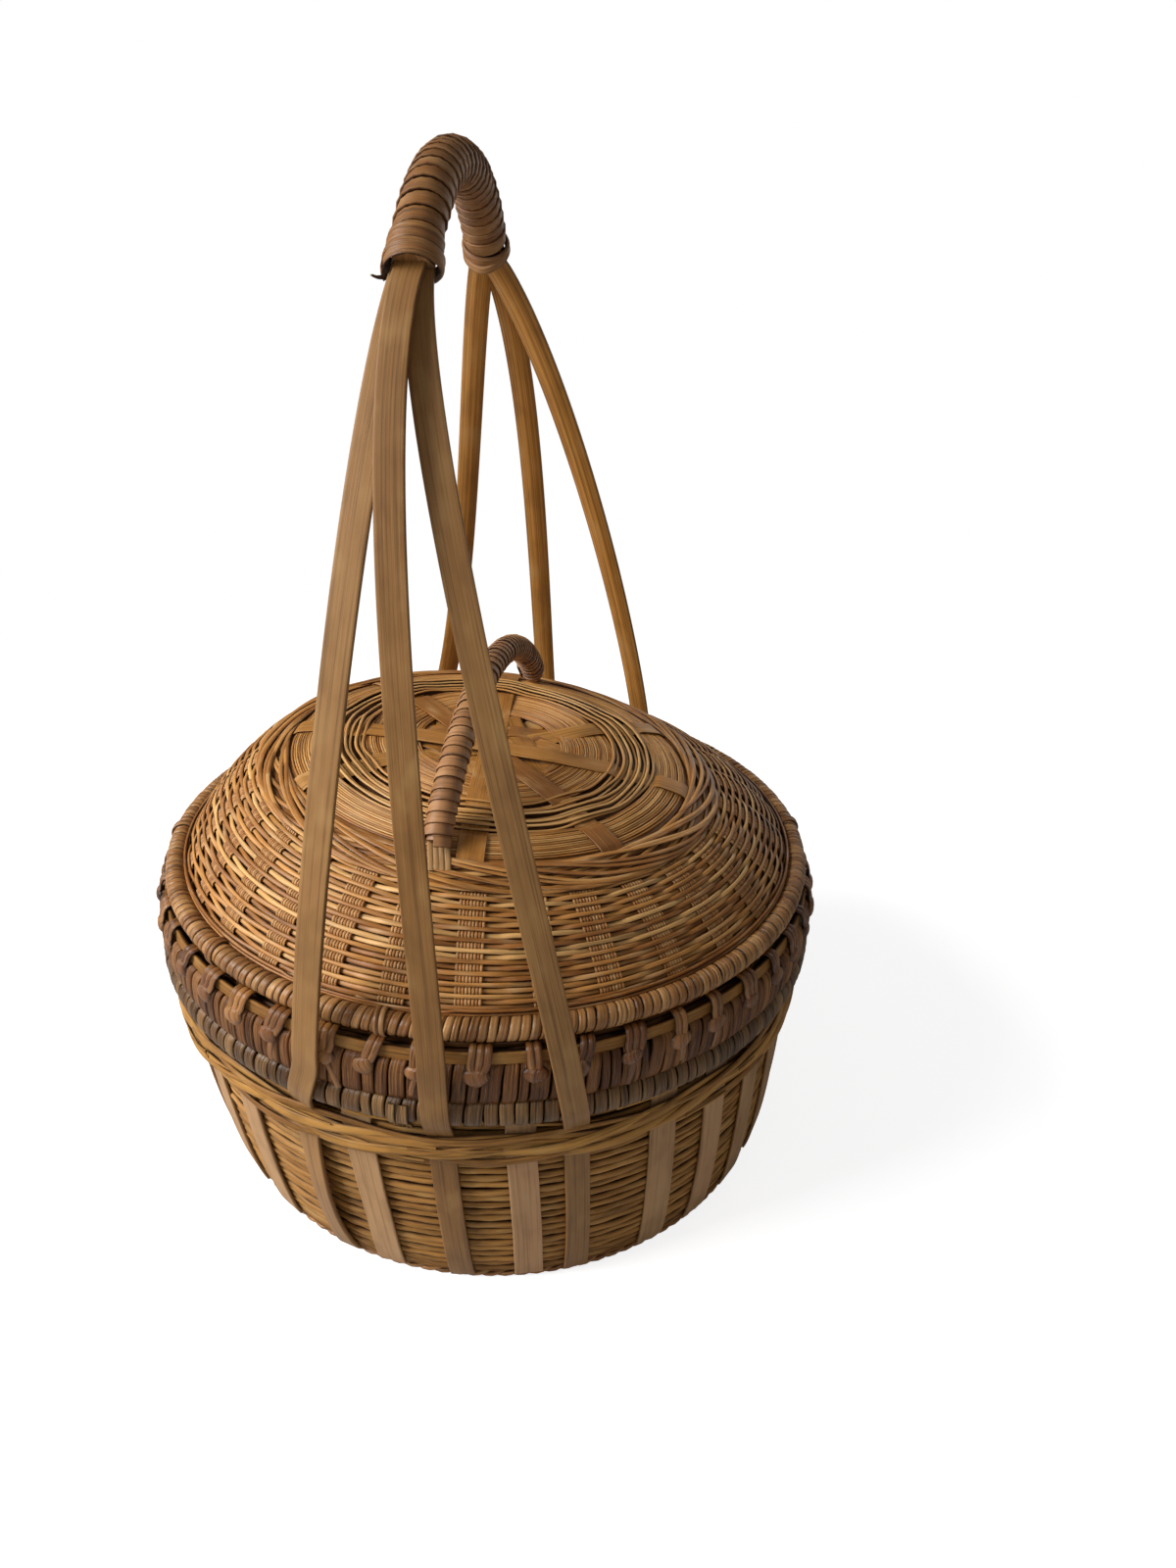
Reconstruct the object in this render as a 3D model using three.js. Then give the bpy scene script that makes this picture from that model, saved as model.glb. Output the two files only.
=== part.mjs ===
// A round lidded rattan basket with a tall bamboo handle, in millimetres, +Z up.
// The origin is the middle of the rim's axis on the floor, and the handle stands in the YZ plane.
import * as THREE from "three";

// Driving dimensions
const clearance = 0.3; // gap that touching pieces keep
const rimRadius = 148; // outer face of the woven wall at the rim
const footRadius = 131; // outer face of the woven wall at the foot
const wallThickness = 4;
const baseThickness = 4;
const bowlLean = 6; // the foot stands this far to +X of the rim
const footHoopWidth = 6;
const footHoopTall = 7;

const stavesPerSide = 10; // staves on each side, between the near and far legs
const sideStavesStart = 25.5; // degrees from the YZ plane to where the sides' even spacing starts
const betweenAngle = 12.9; // degrees from the YZ plane to the stave between two legs
const staveWidth = 13;
const staveThickness = 1.5;

const bandHeight = 93; // middle of the twined band above the floor
const strandCount = 3;
const strandTall = 4.4;
const strandThickness = 2.6;

const neckGap = 8.6; // open stretch of wall between the band and the lower hoop
const lowerHoopTall = 11;
const lowerHoopThickness = 7.5;
const rimHoopTall = 18;
const rimHoopThickness = 7.5;
const rimStripTall = 5.5;
const rimStripThickness = 1.8;
const rimEdge = 1.5; // the wall's edge stands this far above the rim strip
const innerHoopTall = 9;
const innerHoopThickness = 3.5;
const hoopTieWidth = 9;
const hoopTieThickness = 1.4;
const hoopTieAngle = -95; // degrees from +X, beside the near middle leg

const lidRingThickness = 10;
const lidRingInset = 1; // the lid ring's centre line stands this far inside the wall's outer face
const lidThickness = 3;
const lidRise = 43.5; // crown above the top of the lid's collar
const lidTopLean = 4.5; // degrees that the lid's top leans down to +X
const lidCollar = 9; // upright edge of the lid inside its ring
const lidTieWidth = 4;
const lidTieThickness = 0.9;
const lidTieAngles = [-172, -131, -98, 10, 148]; // degrees from +X
const lidTieInnerBend = 110; // degrees above the ring's outer side
const lidTieOuterBend = -20;

const starStripWidth = 11.5; // broad strips that cross at the lid's crown
const starStripThickness = 0.6;
const starSeat = 0.4; // gap between a strip and the dome
const starReach = 91; // half length of each strip, seen from above
// The strips from the lowest up: degrees from +X, and how far each passes beside the crown
const starStrips = [
  { angle: 34, offset: 0 },
  { angle: -87, offset: 0 },
  { angle: -46, offset: -4 },
  { angle: -3, offset: -5 },
];
const starHubRadius = 28; // the strips lie on each other within this radius
const starSpreadRadius = 56; // and all lie on the dome beyond this one
const starSunk = 2; // strips that lie in the crown's shallow dip, the others stand above it
const shoulderInner = 93; // the raised strands of the lid's shoulder, seen from above
const shoulderOuter = 107;
const shoulderRise = 1.2;

const archHalfSpan = 88; // the lid's small handle, foot to middle
const archRise = 40;
const archTwistAngle = 6; // degrees that the arch is turned from the basket's YZ plane
const archCoreRadius = 4.6;
const archStrapWidth = 6.3;
const archStrapThickness = 1.5;
const archLoops = 24;
const archBareEnd = 8; // length of core left bare at each foot
const archTabLength = 13;
const archTabWidth = 11;
const archTabThickness = 1.2;

const legWidth = 11;
const legThickness = 1.9;
const legStandoff = 2.6; // bow of each leg past the rim hoop
// Each handle strip's layer in the grip from the inside out, its place across the grip, and its
// two legs: their angles at the foot and at the rim, and their sideways pull above the rim and
// below the grip. The strips stand in hand-bent curves.
const leftStrip = {
  layer: 0,
  fan: -1,
  near: { footAngle: -22.3, rimAngle: -18.5, lowerBow: 11.4, upperBow: 1.1 },
  far: { footAngle: -22.5, rimAngle: -22.5, lowerBow: 31, upperBow: 6.5 },
};
const middleStrip = {
  layer: 1,
  fan: 0,
  near: { footAngle: 0.7, rimAngle: 0.4, lowerBow: 2.2, upperBow: -21.3 },
  far: { footAngle: 2, rimAngle: 4.2, lowerBow: -10, upperBow: 8 },
};
const rightStrip = {
  layer: -1,
  fan: 1,
  near: { footAngle: 21.7, rimAngle: 19.4, lowerBow: -12.5, upperBow: -25.6 },
  far: { footAngle: 24.5, rimAngle: 26.1, lowerBow: -14, upperBow: 0.3 },
};
const gripFan = 1.6; // sideways step between the strips in the grip
const gripBend = 70; // radius of the grip's centre line
const gripCrownHeight = 439.9;
const gripNearAngle = 55.3; // degrees from the grip's crown to its near end
const gripFarAngle = 60;
const gripTwistAngle = 3.5; // degrees that the grip is turned from the basket's YZ plane
const handleLean = -14.8; // the grip stands this far to -X of the rim's axis
const gripStrapWidth = 3.8;
const gripStrapThickness = 1.1;
const gripLoops = 24;
const collarWidth = 7;
const collarThickness = 2.2;

// Counts
const ringSteps = 48;
const hoopSides = 8;
const wallSteps = 7;
const domeSteps = 9;
const hubSteps = 4;
const legSteps = 18;
const gripSteps = 14;
const loopSteps = 10;
const archSteps = 16;
const starSteps = 20;
const coreSides = 8;
const tieSteps = 7;

const degree = Math.PI / 180;
const turn = 2 * Math.PI;
const mix = (a, b, share) => a + (b - a) * share;
const smooth = (share) => {
  const s = Math.min(1, Math.max(0, share));
  return s * s * (3 - 2 * s);
};
const vec = (x, y, z) => new THREE.Vector3(x, y, z);

// Heights, from the floor up
const bandTall = strandCount * strandTall + (strandCount - 1) * clearance;
const bandTop = bandHeight + bandTall / 2;
const lowerHoopBottom = bandTop + neckGap;
const rimHoopBottom = lowerHoopBottom + lowerHoopTall + clearance;
const rimStripBottom = rimHoopBottom + rimHoopTall + clearance;
const wallTop = rimStripBottom + rimStripTall + rimEdge;
const lidRingHeight = wallTop + clearance + lidRingThickness / 2;
const lidRingRadius = rimRadius - lidRingInset;

// Radii
const hoopInner = rimRadius + clearance;
const rimHoopOuter = hoopInner + rimHoopThickness;
const legInnerAtRim = rimHoopOuter + legStandoff;
const ringFlatShare = 1 / Math.cos(Math.PI / ringSteps); // a ring's corner radius over its flats'
const legOuter = rimRadius + clearance + legThickness;
const bandInner = Math.hypot(legOuter, legWidth / 2) * ringFlatShare + clearance;

// Outer face of the bowl's wall at a height, and the sideways place of its centre.
const bowlPowerShare = 1.2;
const bowlRootShare = 0.42;
function bowlRadius(z) {
  const depth = Math.min(1, Math.max(0, (bandHeight - z) / bandHeight));
  return mix(footRadius, rimRadius, (1 - depth ** bowlPowerShare) ** bowlRootShare);
}
const bowlCentre = (z) => bowlLean * Math.max(0, (bandHeight - z) / bandHeight);

// Heights of the wall's corners, closer together towards the foot, and those of what lies on it.
const wallBottom = footHoopTall / 2;
const wallHeights = [];
for (let i = 0; i <= wallSteps; i++) {
  wallHeights.push(mix(wallBottom, bandTop, (i / wallSteps) ** 2));
}

// A point at an angle from +X, a radius and a height, on the leaning bowl.
function onBowl(angle, radius, z) {
  return vec(bowlCentre(z) + radius * Math.cos(angle), radius * Math.sin(angle), z);
}

// One closed body through a row of outlines with the same number of points each.
// Points that coincide, as at a crown, are shared, and the faces are turned outwards.
function loft(outlines, closed) {
  const position = [];
  const places = new Map();
  const indexOf = (p) => {
    const key = [p.x, p.y, p.z].map((c) => Math.round(c * 1e4)).join(" ");
    if (!places.has(key)) {
      places.set(key, position.length / 3);
      position.push(p.x, p.y, p.z);
    }
    return places.get(key);
  };
  const rows = outlines.map((outline) => outline.map(indexOf));
  const index = [];
  const face = (a, b, c) => {
    if (a !== b && b !== c && c !== a) index.push(a, b, c);
  };
  const sides = rows[0].length;
  const last = closed ? rows.length : rows.length - 1;
  for (let i = 0; i < last; i++) {
    const here = rows[i];
    const next = rows[(i + 1) % rows.length];
    for (let k = 0; k < sides; k++) {
      const m = (k + 1) % sides;
      face(here[k], here[m], next[m]);
      face(here[k], next[m], next[k]);
    }
  }
  if (!closed) {
    const end = rows[rows.length - 1];
    for (let k = 1; k < sides - 1; k++) {
      face(rows[0][0], rows[0][k + 1], rows[0][k]);
      face(end[0], end[k], end[k + 1]);
    }
  }
  let volume = 0;
  const at = (i) => new THREE.Vector3().fromArray(position, 3 * i);
  for (let i = 0; i < index.length; i += 3) {
    volume += at(index[i]).dot(at(index[i + 1]).cross(at(index[i + 2])));
  }
  if (volume < 0) index.reverse();
  const geometry = new THREE.BufferGeometry();
  geometry.setAttribute("position", new THREE.Float32BufferAttribute(position, 3));
  geometry.setIndex(index);
  geometry.computeVertexNormals();
  return geometry;
}

// A ring round the basket's axis from a closed section of [radius, height] pairs.
function ring(section, centreAt = () => 0) {
  const outlines = [];
  for (let i = 0; i < ringSteps; i++) {
    const angle = (turn * i) / ringSteps;
    outlines.push(
      section.map(([r, z]) =>
        vec(centreAt(z) + r * Math.cos(angle), r * Math.sin(angle), z),
      ),
    );
  }
  return loft(outlines, true);
}

// A rounded section between two radii and two heights, with flats on its four sides.
function roundSection(inner, outer, bottom, top) {
  const section = [];
  const middle = [(inner + outer) / 2, (bottom + top) / 2];
  const half = [(outer - inner) / 2, (top - bottom) / 2];
  const flat = 1 / Math.cos(Math.PI / hoopSides);
  for (let k = 0; k < hoopSides; k++) {
    const angle = (turn * (k + 1 / 2)) / hoopSides;
    section.push([
      middle[0] + half[0] * flat * Math.cos(angle),
      middle[1] + half[1] * flat * Math.sin(angle),
    ]);
  }
  return section;
}

const boxSection = (inner, outer, bottom, top) => [
  [inner, bottom],
  [outer, bottom],
  [outer, top],
  [inner, top],
];

// A flat strip through stations of {at, across, out}: a point, and unit vectors along
// its width and thickness.
function strip(stations, width, thickness) {
  return loft(
    stations.map(({ at, across, out }) =>
      [
        [-1, -1],
        [1, -1],
        [1, 1],
        [-1, 1],
      ].map(([u, v]) =>
        at
          .clone()
          .addScaledVector(across, (u * width) / 2)
          .addScaledVector(out, (v * thickness) / 2),
      ),
    ),
    false,
  );
}

const group = new THREE.Group();
group.name = "rattan_basket";

const finishes = {
  weave: { color: 0xa67c45, roughness: 0.7 },
  stave: { color: 0xb69a6c, roughness: 0.6 },
  binding: { color: 0x7b5738, roughness: 0.6 },
  greyBinding: { color: 0x6f5a43, roughness: 0.5 },
  lidRing: { color: 0x95633a, roughness: 0.55 },
  strand: { color: 0xa98751, roughness: 0.65 },
  bamboo: { color: 0xa9834c, roughness: 0.55 },
  lidWeave: { color: 0xc4955a, roughness: 0.7 },
};

function add(name, geometry, finish) {
  const material = new THREE.MeshStandardMaterial({ ...finishes[finish], metalness: 0 });
  const mesh = new THREE.Mesh(geometry, material);
  mesh.name = name;
  group.add(mesh);
}

// Bowl: the woven wall, its base and the hoop that it stands on
function bowlWall() {
  const outer = wallHeights.map((z) => [bowlRadius(z), z]);
  const inner = wallHeights.map((z) => [bowlRadius(z) - wallThickness, z]);
  outer.push([rimRadius, wallTop]);
  inner.push([rimRadius - wallThickness, wallTop]);
  return ring([...outer, ...inner.reverse()], bowlCentre);
}

function baseMat() {
  const bottom = wallBottom;
  const radius = bowlRadius(bottom) - wallThickness - clearance;
  const section = [
    [0, bottom],
    [radius, bottom],
    [radius, bottom + baseThickness],
    [0, bottom + baseThickness],
  ];
  return ring(section, () => bowlLean);
}

function footHoop() {
  const top = wallBottom - clearance;
  const outer = bowlRadius(wallBottom);
  return ring(boxSection(outer - footHoopWidth, outer, 0, top), () => bowlLean);
}

add("bowl_wall", bowlWall(), "weave");
add("base_mat", baseMat(), "weave");
add("foot_hoop", footHoop(), "binding");

// Handle strips: each runs from its near foot under the band, past the hoops, over the
// grip and down to its far foot. They spread like a fan below the grip and lie on each other in it.
const turned = (angle) => ({
  forward: vec(Math.sin(angle), Math.cos(angle), 0),
  sideways: vec(Math.cos(angle), -Math.sin(angle), 0),
});

// Circular arc in an upright plane: its middle, its plane's directions and its end angles
function arcAxis({ crown, bend, twist, nearEnd, farEnd }) {
  const { forward, sideways } = turned(twist);
  return (share) => {
    const angle = mix(-nearEnd, farEnd, share);
    const out = forward.clone().multiplyScalar(Math.sin(angle)).setZ(Math.cos(angle));
    const along = forward.clone().multiplyScalar(Math.cos(angle)).setZ(-Math.sin(angle));
    const at = crown.clone().add(vec(0, 0, -bend)).addScaledVector(out, bend);
    return { at, along, out, sideways };
  };
}
const gripAxis = arcAxis({
  crown: vec(handleLean, 0, gripCrownHeight),
  bend: gripBend,
  twist: gripTwistAngle * degree,
  nearEnd: gripNearAngle * degree,
  farEnd: gripFarAngle * degree,
});

const legRimRadius = legInnerAtRim + legThickness / 2;
const lowerHoopOuter = hoopInner + lowerHoopThickness;
const legPitch = legThickness + clearance;

// A strip's place in the grip
function inGrip(share, { layer, fan }) {
  const { at, out, sideways } = gripAxis(share);
  at.addScaledVector(out, layer * legPitch).addScaledVector(sideways, fan * gripFan);
  return { at, across: sideways, out };
}

// A leg's free curve from the rim hoop to the grip's end: pulls as shares of the rise
const freeStart = rimHoopBottom + rimHoopTall / 2;
const startPullShare = 0.23;
const endPullShare = 0.16;
const startTiltShare = 0.2;
const endTiltShare = 0.96;
function freeCurve(start, finish, radial, { lowerBow, upperBow }) {
  const rise = finish.z - start.z;
  const away = start.clone().sub(finish).setZ(0).normalize();
  const first = start.clone().addScaledVector(radial, rise * startPullShare * startTiltShare);
  const second = finish.clone().addScaledVector(away, rise * endPullShare * endTiltShare);
  first.add(vec(lowerBow, 0, rise * startPullShare));
  second.add(vec(upperBow, 0, -rise * endPullShare));
  return new THREE.CubicBezierCurve3(start, first, second, finish);
}

// Stations from the foot up to the grip's end, on one side of the basket
function legStations(side, shape, place) {
  const directions = (angle) => ({
    out: vec(Math.sin(angle), side * Math.cos(angle), 0),
    across: vec(Math.cos(angle), -side * Math.sin(angle), 0),
  });
  const foot = directions(shape.footAngle * degree);
  const rim = directions(shape.rimAngle * degree);
  const stations = wallHeights.map((z) => {
    const at = foot.out.clone().multiplyScalar(bowlRadius(z) + clearance + legThickness / 2);
    return { at: at.setZ(z).add(vec(bowlCentre(z), 0, 0)), ...foot };
  });
  const half = directions(((shape.footAngle + shape.rimAngle) / 2) * degree);
  const past = lowerHoopOuter + legThickness / 2 + 2 * clearance;
  const hoopHeight = lowerHoopBottom + lowerHoopTall / 3;
  stations.push({ at: half.out.clone().multiplyScalar(past).setZ(hoopHeight), ...half });
  const end = inGrip(side < 0 ? 0 : 1, place);
  const start = rim.out.clone().multiplyScalar(legRimRadius).setZ(freeStart);
  const curve = freeCurve(start, end.at, rim.out, shape);
  for (let i = 0; i <= legSteps; i++) {
    const share = i / legSteps;
    const along = curve.getTangent(share);
    const across = rim.across.clone().lerp(end.across, smooth(share)).normalize();
    const out = across.clone().cross(along).normalize();
    if (out.dot(share > 1 / 2 ? end.out : rim.out) < 0) out.negate();
    stations.push({ at: curve.getPoint(share), across, out });
  }
  return stations;
}

function handleStrip(place) {
  const stations = legStations(-1, place.near, place);
  for (let i = 1; i < gripSteps; i++) {
    stations.push(inGrip(i / gripSteps, place));
  }
  stations.push(...legStations(1, place.far, place).reverse());
  return strip(stations, legWidth, legThickness);
}
add("handle_strip_left", handleStrip(leftStrip), "bamboo");
add("handle_strip_middle", handleStrip(middleStrip), "bamboo");
add("handle_strip_right", handleStrip(rightStrip), "bamboo");

// Staves: flat splints up the outside of the bowl, between the legs
const staveTop = bandTop + neckGap / 2;
function stave(angle) {
  const stations = [];
  const out = vec(Math.cos(angle), Math.sin(angle), 0);
  const across = vec(-Math.sin(angle), Math.cos(angle), 0);
  for (const z of [...wallHeights, staveTop]) {
    const at = onBowl(angle, bowlRadius(z) + clearance + staveThickness / 2, z);
    stations.push({ at, across, out });
  }
  return strip(stations, staveWidth, staveThickness);
}

// Staves fill the two side arcs, and one stands between each two neighbouring legs.
const sideArcHalf = 90 - sideStavesStart;
for (const [side, start] of [["right", 0], ["left", 180]]) {
  for (let i = 1; i <= stavesPerSide; i++) {
    const angle = start + mix(-sideArcHalf, sideArcHalf, i / (stavesPerSide + 1));
    add("stave_" + side + "_" + i, stave(angle * degree), "stave");
  }
}
for (const [end, middle] of [["near", -90], ["far", 90]]) {
  add("stave_" + end + "_left", stave((middle - betweenAngle) * degree), "stave");
  add("stave_" + end + "_right", stave((middle + betweenAngle) * degree), "stave");
}

// Twined band: flat strands laid round the legs and staves
for (let i = 0; i < strandCount; i++) {
  const bottom = bandHeight - bandTall / 2 + i * (strandTall + clearance);
  const top = bottom + strandTall;
  const section = boxSection(bandInner, bandInner + strandThickness, bottom, top);
  add("band_strand_" + (i + 1), ring(section), "strand");
}

// Hoops round the rim, the strip on them and the hoop inside the wall
add(
  "lower_hoop",
  ring(
    roundSection(
      hoopInner,
      lowerHoopOuter,
      lowerHoopBottom,
      lowerHoopBottom + lowerHoopTall,
    ),
  ),
  "greyBinding",
);
add(
  "rim_hoop",
  ring(roundSection(hoopInner, rimHoopOuter, rimHoopBottom, rimHoopBottom + rimHoopTall)),
  "binding",
);
const rimStripRadius = (hoopInner + rimHoopOuter) / 2;
add(
  "rim_strip",
  ring(
    boxSection(
      rimStripRadius - rimStripThickness / 2,
      rimStripRadius + rimStripThickness / 2,
      rimStripBottom,
      rimStripBottom + rimStripTall,
    ),
  ),
  "strand",
);

// A flat strip up the side at one angle, through [radius, height] pairs from the bottom up
function uprightStrip(angle, profile, width, thickness) {
  const outward = vec(Math.cos(angle), Math.sin(angle), 0);
  const across = vec(-Math.sin(angle), Math.cos(angle), 0);
  const points = profile.map(([r, z]) => outward.clone().multiplyScalar(r).setZ(z));
  const stations = points.map((at, i) => {
    const before = points[Math.max(0, i - 1)];
    const after = points[Math.min(points.length - 1, i + 1)];
    const along = after.clone().sub(before).normalize();
    return { at, across, out: across.clone().cross(along).normalize() };
  });
  return strip(stations, width, thickness);
}

// Hoop tie: a cane that binds the lower hoop to the wall above the band
const hoopTieHalf = hoopTieThickness / 2;
const hoopTieOut = lowerHoopOuter + clearance + hoopTieHalf;
const hoopTieIn = rimRadius + 2 * clearance + 2 * hoopTieHalf;
const hoopTieBelt = mix(hoopTieIn, hoopTieOut, 3 / 4);
add(
  "hoop_tie",
  uprightStrip(
    hoopTieAngle * degree,
    [
      [hoopTieIn, bandTop + 2 * clearance],
      [hoopTieBelt, lowerHoopBottom - 2 * clearance],
      [hoopTieOut, lowerHoopBottom + lowerHoopTall / 3],
      [hoopTieOut, lowerHoopBottom + (3 * lowerHoopTall) / 4],
    ],
    hoopTieWidth,
    hoopTieThickness,
  ),
  "greyBinding",
);

const innerHoopOuter = rimRadius - wallThickness - clearance;
add(
  "inner_rim_hoop",
  ring(
    boxSection(innerHoopOuter - innerHoopThickness, innerHoopOuter, wallTop - innerHoopTall, wallTop),
  ),
  "binding",
);

// Lid: a woven dome in a bound ring, lifted by a small wrapped arch
const lidCollarOuter = lidRingRadius - lidRingThickness / 2 - clearance;
const collarBottom = lidRingHeight - lidCollar / 2;
const domeFoot = lidRingHeight + lidCollar / 2;
const domePowerShare = 4.7;
const topLeanSlopeShare = Math.tan(lidTopLean * degree);

// The dome's plain height at a point seen from above: its top leans, its foot is level.
function domeShape(x, y) {
  const radius = Math.hypot(x, y);
  const fade = Math.min(1, (lidCollarOuter - radius) / (lidCollarOuter - shoulderOuter));
  const lean = topLeanSlopeShare * x * fade;
  return domeFoot + lidRise * (1 - (radius / lidCollarOuter) ** domePowerShare) - lean;
}

// The crown has a shallow dip, where the broad strips lie on each other.
const starPitch = starStripThickness + clearance;
const inHub = (radius) => smooth((starSpreadRadius - radius) / (starSpreadRadius - starHubRadius));
const domeSkin = (x, y) => domeShape(x, y) - starSunk * starPitch * inHub(Math.hypot(x, y));

// The shoulder's strands stand proud of the dome, with sloping sides.
const shoulderSlope = 2 * shoulderRise;
const shoulderAt = (radius) =>
  shoulderRise *
  smooth((radius - shoulderInner) / shoulderSlope) *
  smooth((shoulderOuter - radius) / shoulderSlope);
const domeTop = (x, y) => domeSkin(x, y) + shoulderAt(Math.hypot(x, y));

function lidDome() {
  const radii = [shoulderInner, shoulderInner + shoulderSlope];
  radii.push(shoulderOuter - shoulderSlope, shoulderOuter);
  for (let i = 0; i <= hubSteps; i++) radii.push(mix(starHubRadius, starSpreadRadius, i / hubSteps));
  for (let i = 0; i <= domeSteps; i++) {
    const radius = lidCollarOuter * Math.cos(((Math.PI / 2) * i) / domeSteps);
    if (radius > shoulderOuter + shoulderSlope) radii.push(radius);
  }
  radii.push(mix(starSpreadRadius, shoulderInner, 1 / 2), 0);
  radii.sort((a, b) => b - a);
  const innerCollar = lidCollarOuter - lidThickness;
  const hollowShare = innerCollar / lidCollarOuter;
  const outlines = [];
  for (let k = 0; k < ringSteps; k++) {
    const angle = (turn * k) / ringSteps;
    const at = (radius, height) => {
      const p = vec(radius * Math.cos(angle), radius * Math.sin(angle), 0);
      return p.setZ(height(p.x, p.y));
    };
    const outer = radii.map((radius) => at(radius, domeTop));
    const inner = radii.map((radius) =>
      at(radius * hollowShare, (x, y) => domeSkin(x / hollowShare, y / hollowShare) - lidThickness),
    );
    const foot = [at(lidCollarOuter, () => collarBottom), at(innerCollar, () => collarBottom)];
    outlines.push([foot[0], ...outer, ...inner.reverse(), foot[1]]);
  }
  return loft(outlines, true);
}

// Star: broad strips that cross at the crown in layers and lie on the dome further out
const normalStep = clearance;
function domeNormal(x, y) {
  const slopeX = (domeShape(x + normalStep, y) - domeShape(x - normalStep, y)) / (2 * normalStep);
  const slopeY = (domeShape(x, y + normalStep) - domeShape(x, y - normalStep)) / (2 * normalStep);
  return vec(-slopeX, -slopeY, 1).normalize();
}
function starStrip(layer) {
  const { offset } = starStrips[layer];
  const angle = starStrips[layer].angle * degree;
  const along = vec(Math.cos(angle), Math.sin(angle), 0);
  const beside = vec(-Math.sin(angle), Math.cos(angle), 0);
  const stations = [];
  for (let i = 0; i <= starSteps; i++) {
    const reach = mix(-starReach, starReach, i / starSteps);
    const at = along.clone().multiplyScalar(reach).addScaledVector(beside, offset);
    const step = (layer - starSunk) * starPitch * inHub(Math.abs(reach));
    const above = starSeat + starStripThickness / 2 + step;
    const out = domeNormal(at.x, at.y);
    const across = out.clone().cross(along).normalize();
    stations.push({ at: at.setZ(domeShape(at.x, at.y)).addScaledVector(out, above), across, out });
  }
  return strip(stations, starStripWidth, starStripThickness);
}

const lidRingHalf = lidRingThickness / 2;
add("lid_dome", lidDome(), "lidWeave");
starStrips.forEach((place, i) => add("lid_star_strip_" + (i + 1), starStrip(i), "lidWeave"));
add(
  "lid_ring",
  ring(
    roundSection(
      lidRingRadius - lidRingHalf,
      lidRingRadius + lidRingHalf,
      lidRingHeight - lidRingHalf,
      lidRingHeight + lidRingHalf,
    ),
  ),
  "lidRing",
);

// Ties: short canes bent over the lid ring
function lidTie(angle) {
  const outward = vec(Math.cos(angle), Math.sin(angle), 0);
  const across = vec(-Math.sin(angle), Math.cos(angle), 0);
  const centre = outward.clone().multiplyScalar(lidRingRadius).setZ(lidRingHeight);
  const apothem = lidRingHalf / Math.cos(Math.PI / hoopSides);
  const reach = apothem + clearance + lidTieThickness / 2;
  const stations = [];
  for (let i = 0; i <= tieSteps; i++) {
    const bend = mix(lidTieInnerBend, lidTieOuterBend, i / tieSteps) * degree;
    const out = outward.clone().multiplyScalar(Math.cos(bend)).add(vec(0, 0, Math.sin(bend)));
    stations.push({ at: centre.clone().addScaledVector(out, reach), across, out });
  }
  return strip(stations, lidTieWidth, lidTieThickness);
}
lidTieAngles.forEach((angle, i) => add("lid_tie_" + (i + 1), lidTie(angle * degree), "lidRing"));

// The arch's centre line, from its near foot to its far foot. The inner corner of each foot
// stands on the dome, and the far end reaches further down where the dome is lower.
const archRadius = (archHalfSpan ** 2 + archRise ** 2) / (2 * archRise);
const archAngle = Math.asin(archHalfSpan / archRadius);
function archSeat(side) {
  const corner = turned(archTwistAngle * degree).forward;
  corner.multiplyScalar(side * (archHalfSpan - archCoreRadius * Math.sin(archAngle)));
  return domeTop(corner.x, corner.y) + clearance + archCoreRadius * Math.cos(archAngle);
}
const archFootHeight = archSeat(-1);
const archFarAngle = archAngle + (archSeat(-1) - archSeat(1)) / (archRadius * Math.sin(archAngle));
const archAxis = arcAxis({
  crown: vec(0, 0, archFootHeight + archRise),
  bend: archRadius,
  twist: archTwistAngle * degree,
  nearEnd: archAngle,
  farEnd: archFarAngle,
});

// A point round an axis, at a radius and an angle from its outer side
function around({ at, out, sideways }, radius, angle) {
  const away = out.clone().multiplyScalar(Math.cos(angle)).addScaledVector(sideways, Math.sin(angle));
  return { at: at.clone().addScaledVector(away, radius), away };
}

function rod(axis, radius, steps) {
  const outlines = [];
  for (let i = 0; i <= steps; i++) {
    const outline = [];
    for (let k = 0; k < coreSides; k++) {
      outline.push(around(axis(i / steps), radius, (turn * k) / coreSides).at);
    }
    outlines.push(outline);
  }
  return loft(outlines, false);
}

// A flat cane wound along an axis, as one unbroken strap
function winding(axis, inner, width, thickness, loops, endShare) {
  const stations = [];
  const steps = loops * loopSteps;
  for (let i = 0; i <= steps; i++) {
    const place = axis(mix(endShare, 1 - endShare, i / steps));
    const reach = inner / Math.cos(Math.PI / loopSteps) + thickness / 2;
    const { at, away } = around(place, reach, (turn * i) / loopSteps);
    stations.push({ at, across: place.along, out: away });
  }
  return { geometry: strip(stations, width, thickness), stations };
}

// Least gap between neighbouring turns, measured between the corners of their facing edges
function leastGap(stations, width, thickness) {
  let least = Infinity;
  for (let i = 0; i + loopSteps < stations.length; i++) {
    const here = stations[i];
    const next = stations[i + loopSteps];
    for (const face of [-thickness / 2, thickness / 2]) {
      const ahead = here.at
        .clone()
        .addScaledVector(here.across, width / 2)
        .addScaledVector(here.out, face);
      const behind = next.at
        .clone()
        .addScaledVector(next.across, -width / 2)
        .addScaledVector(next.out, face);
      least = Math.min(least, behind.sub(ahead).dot(here.across));
    }
  }
  return least;
}

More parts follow.
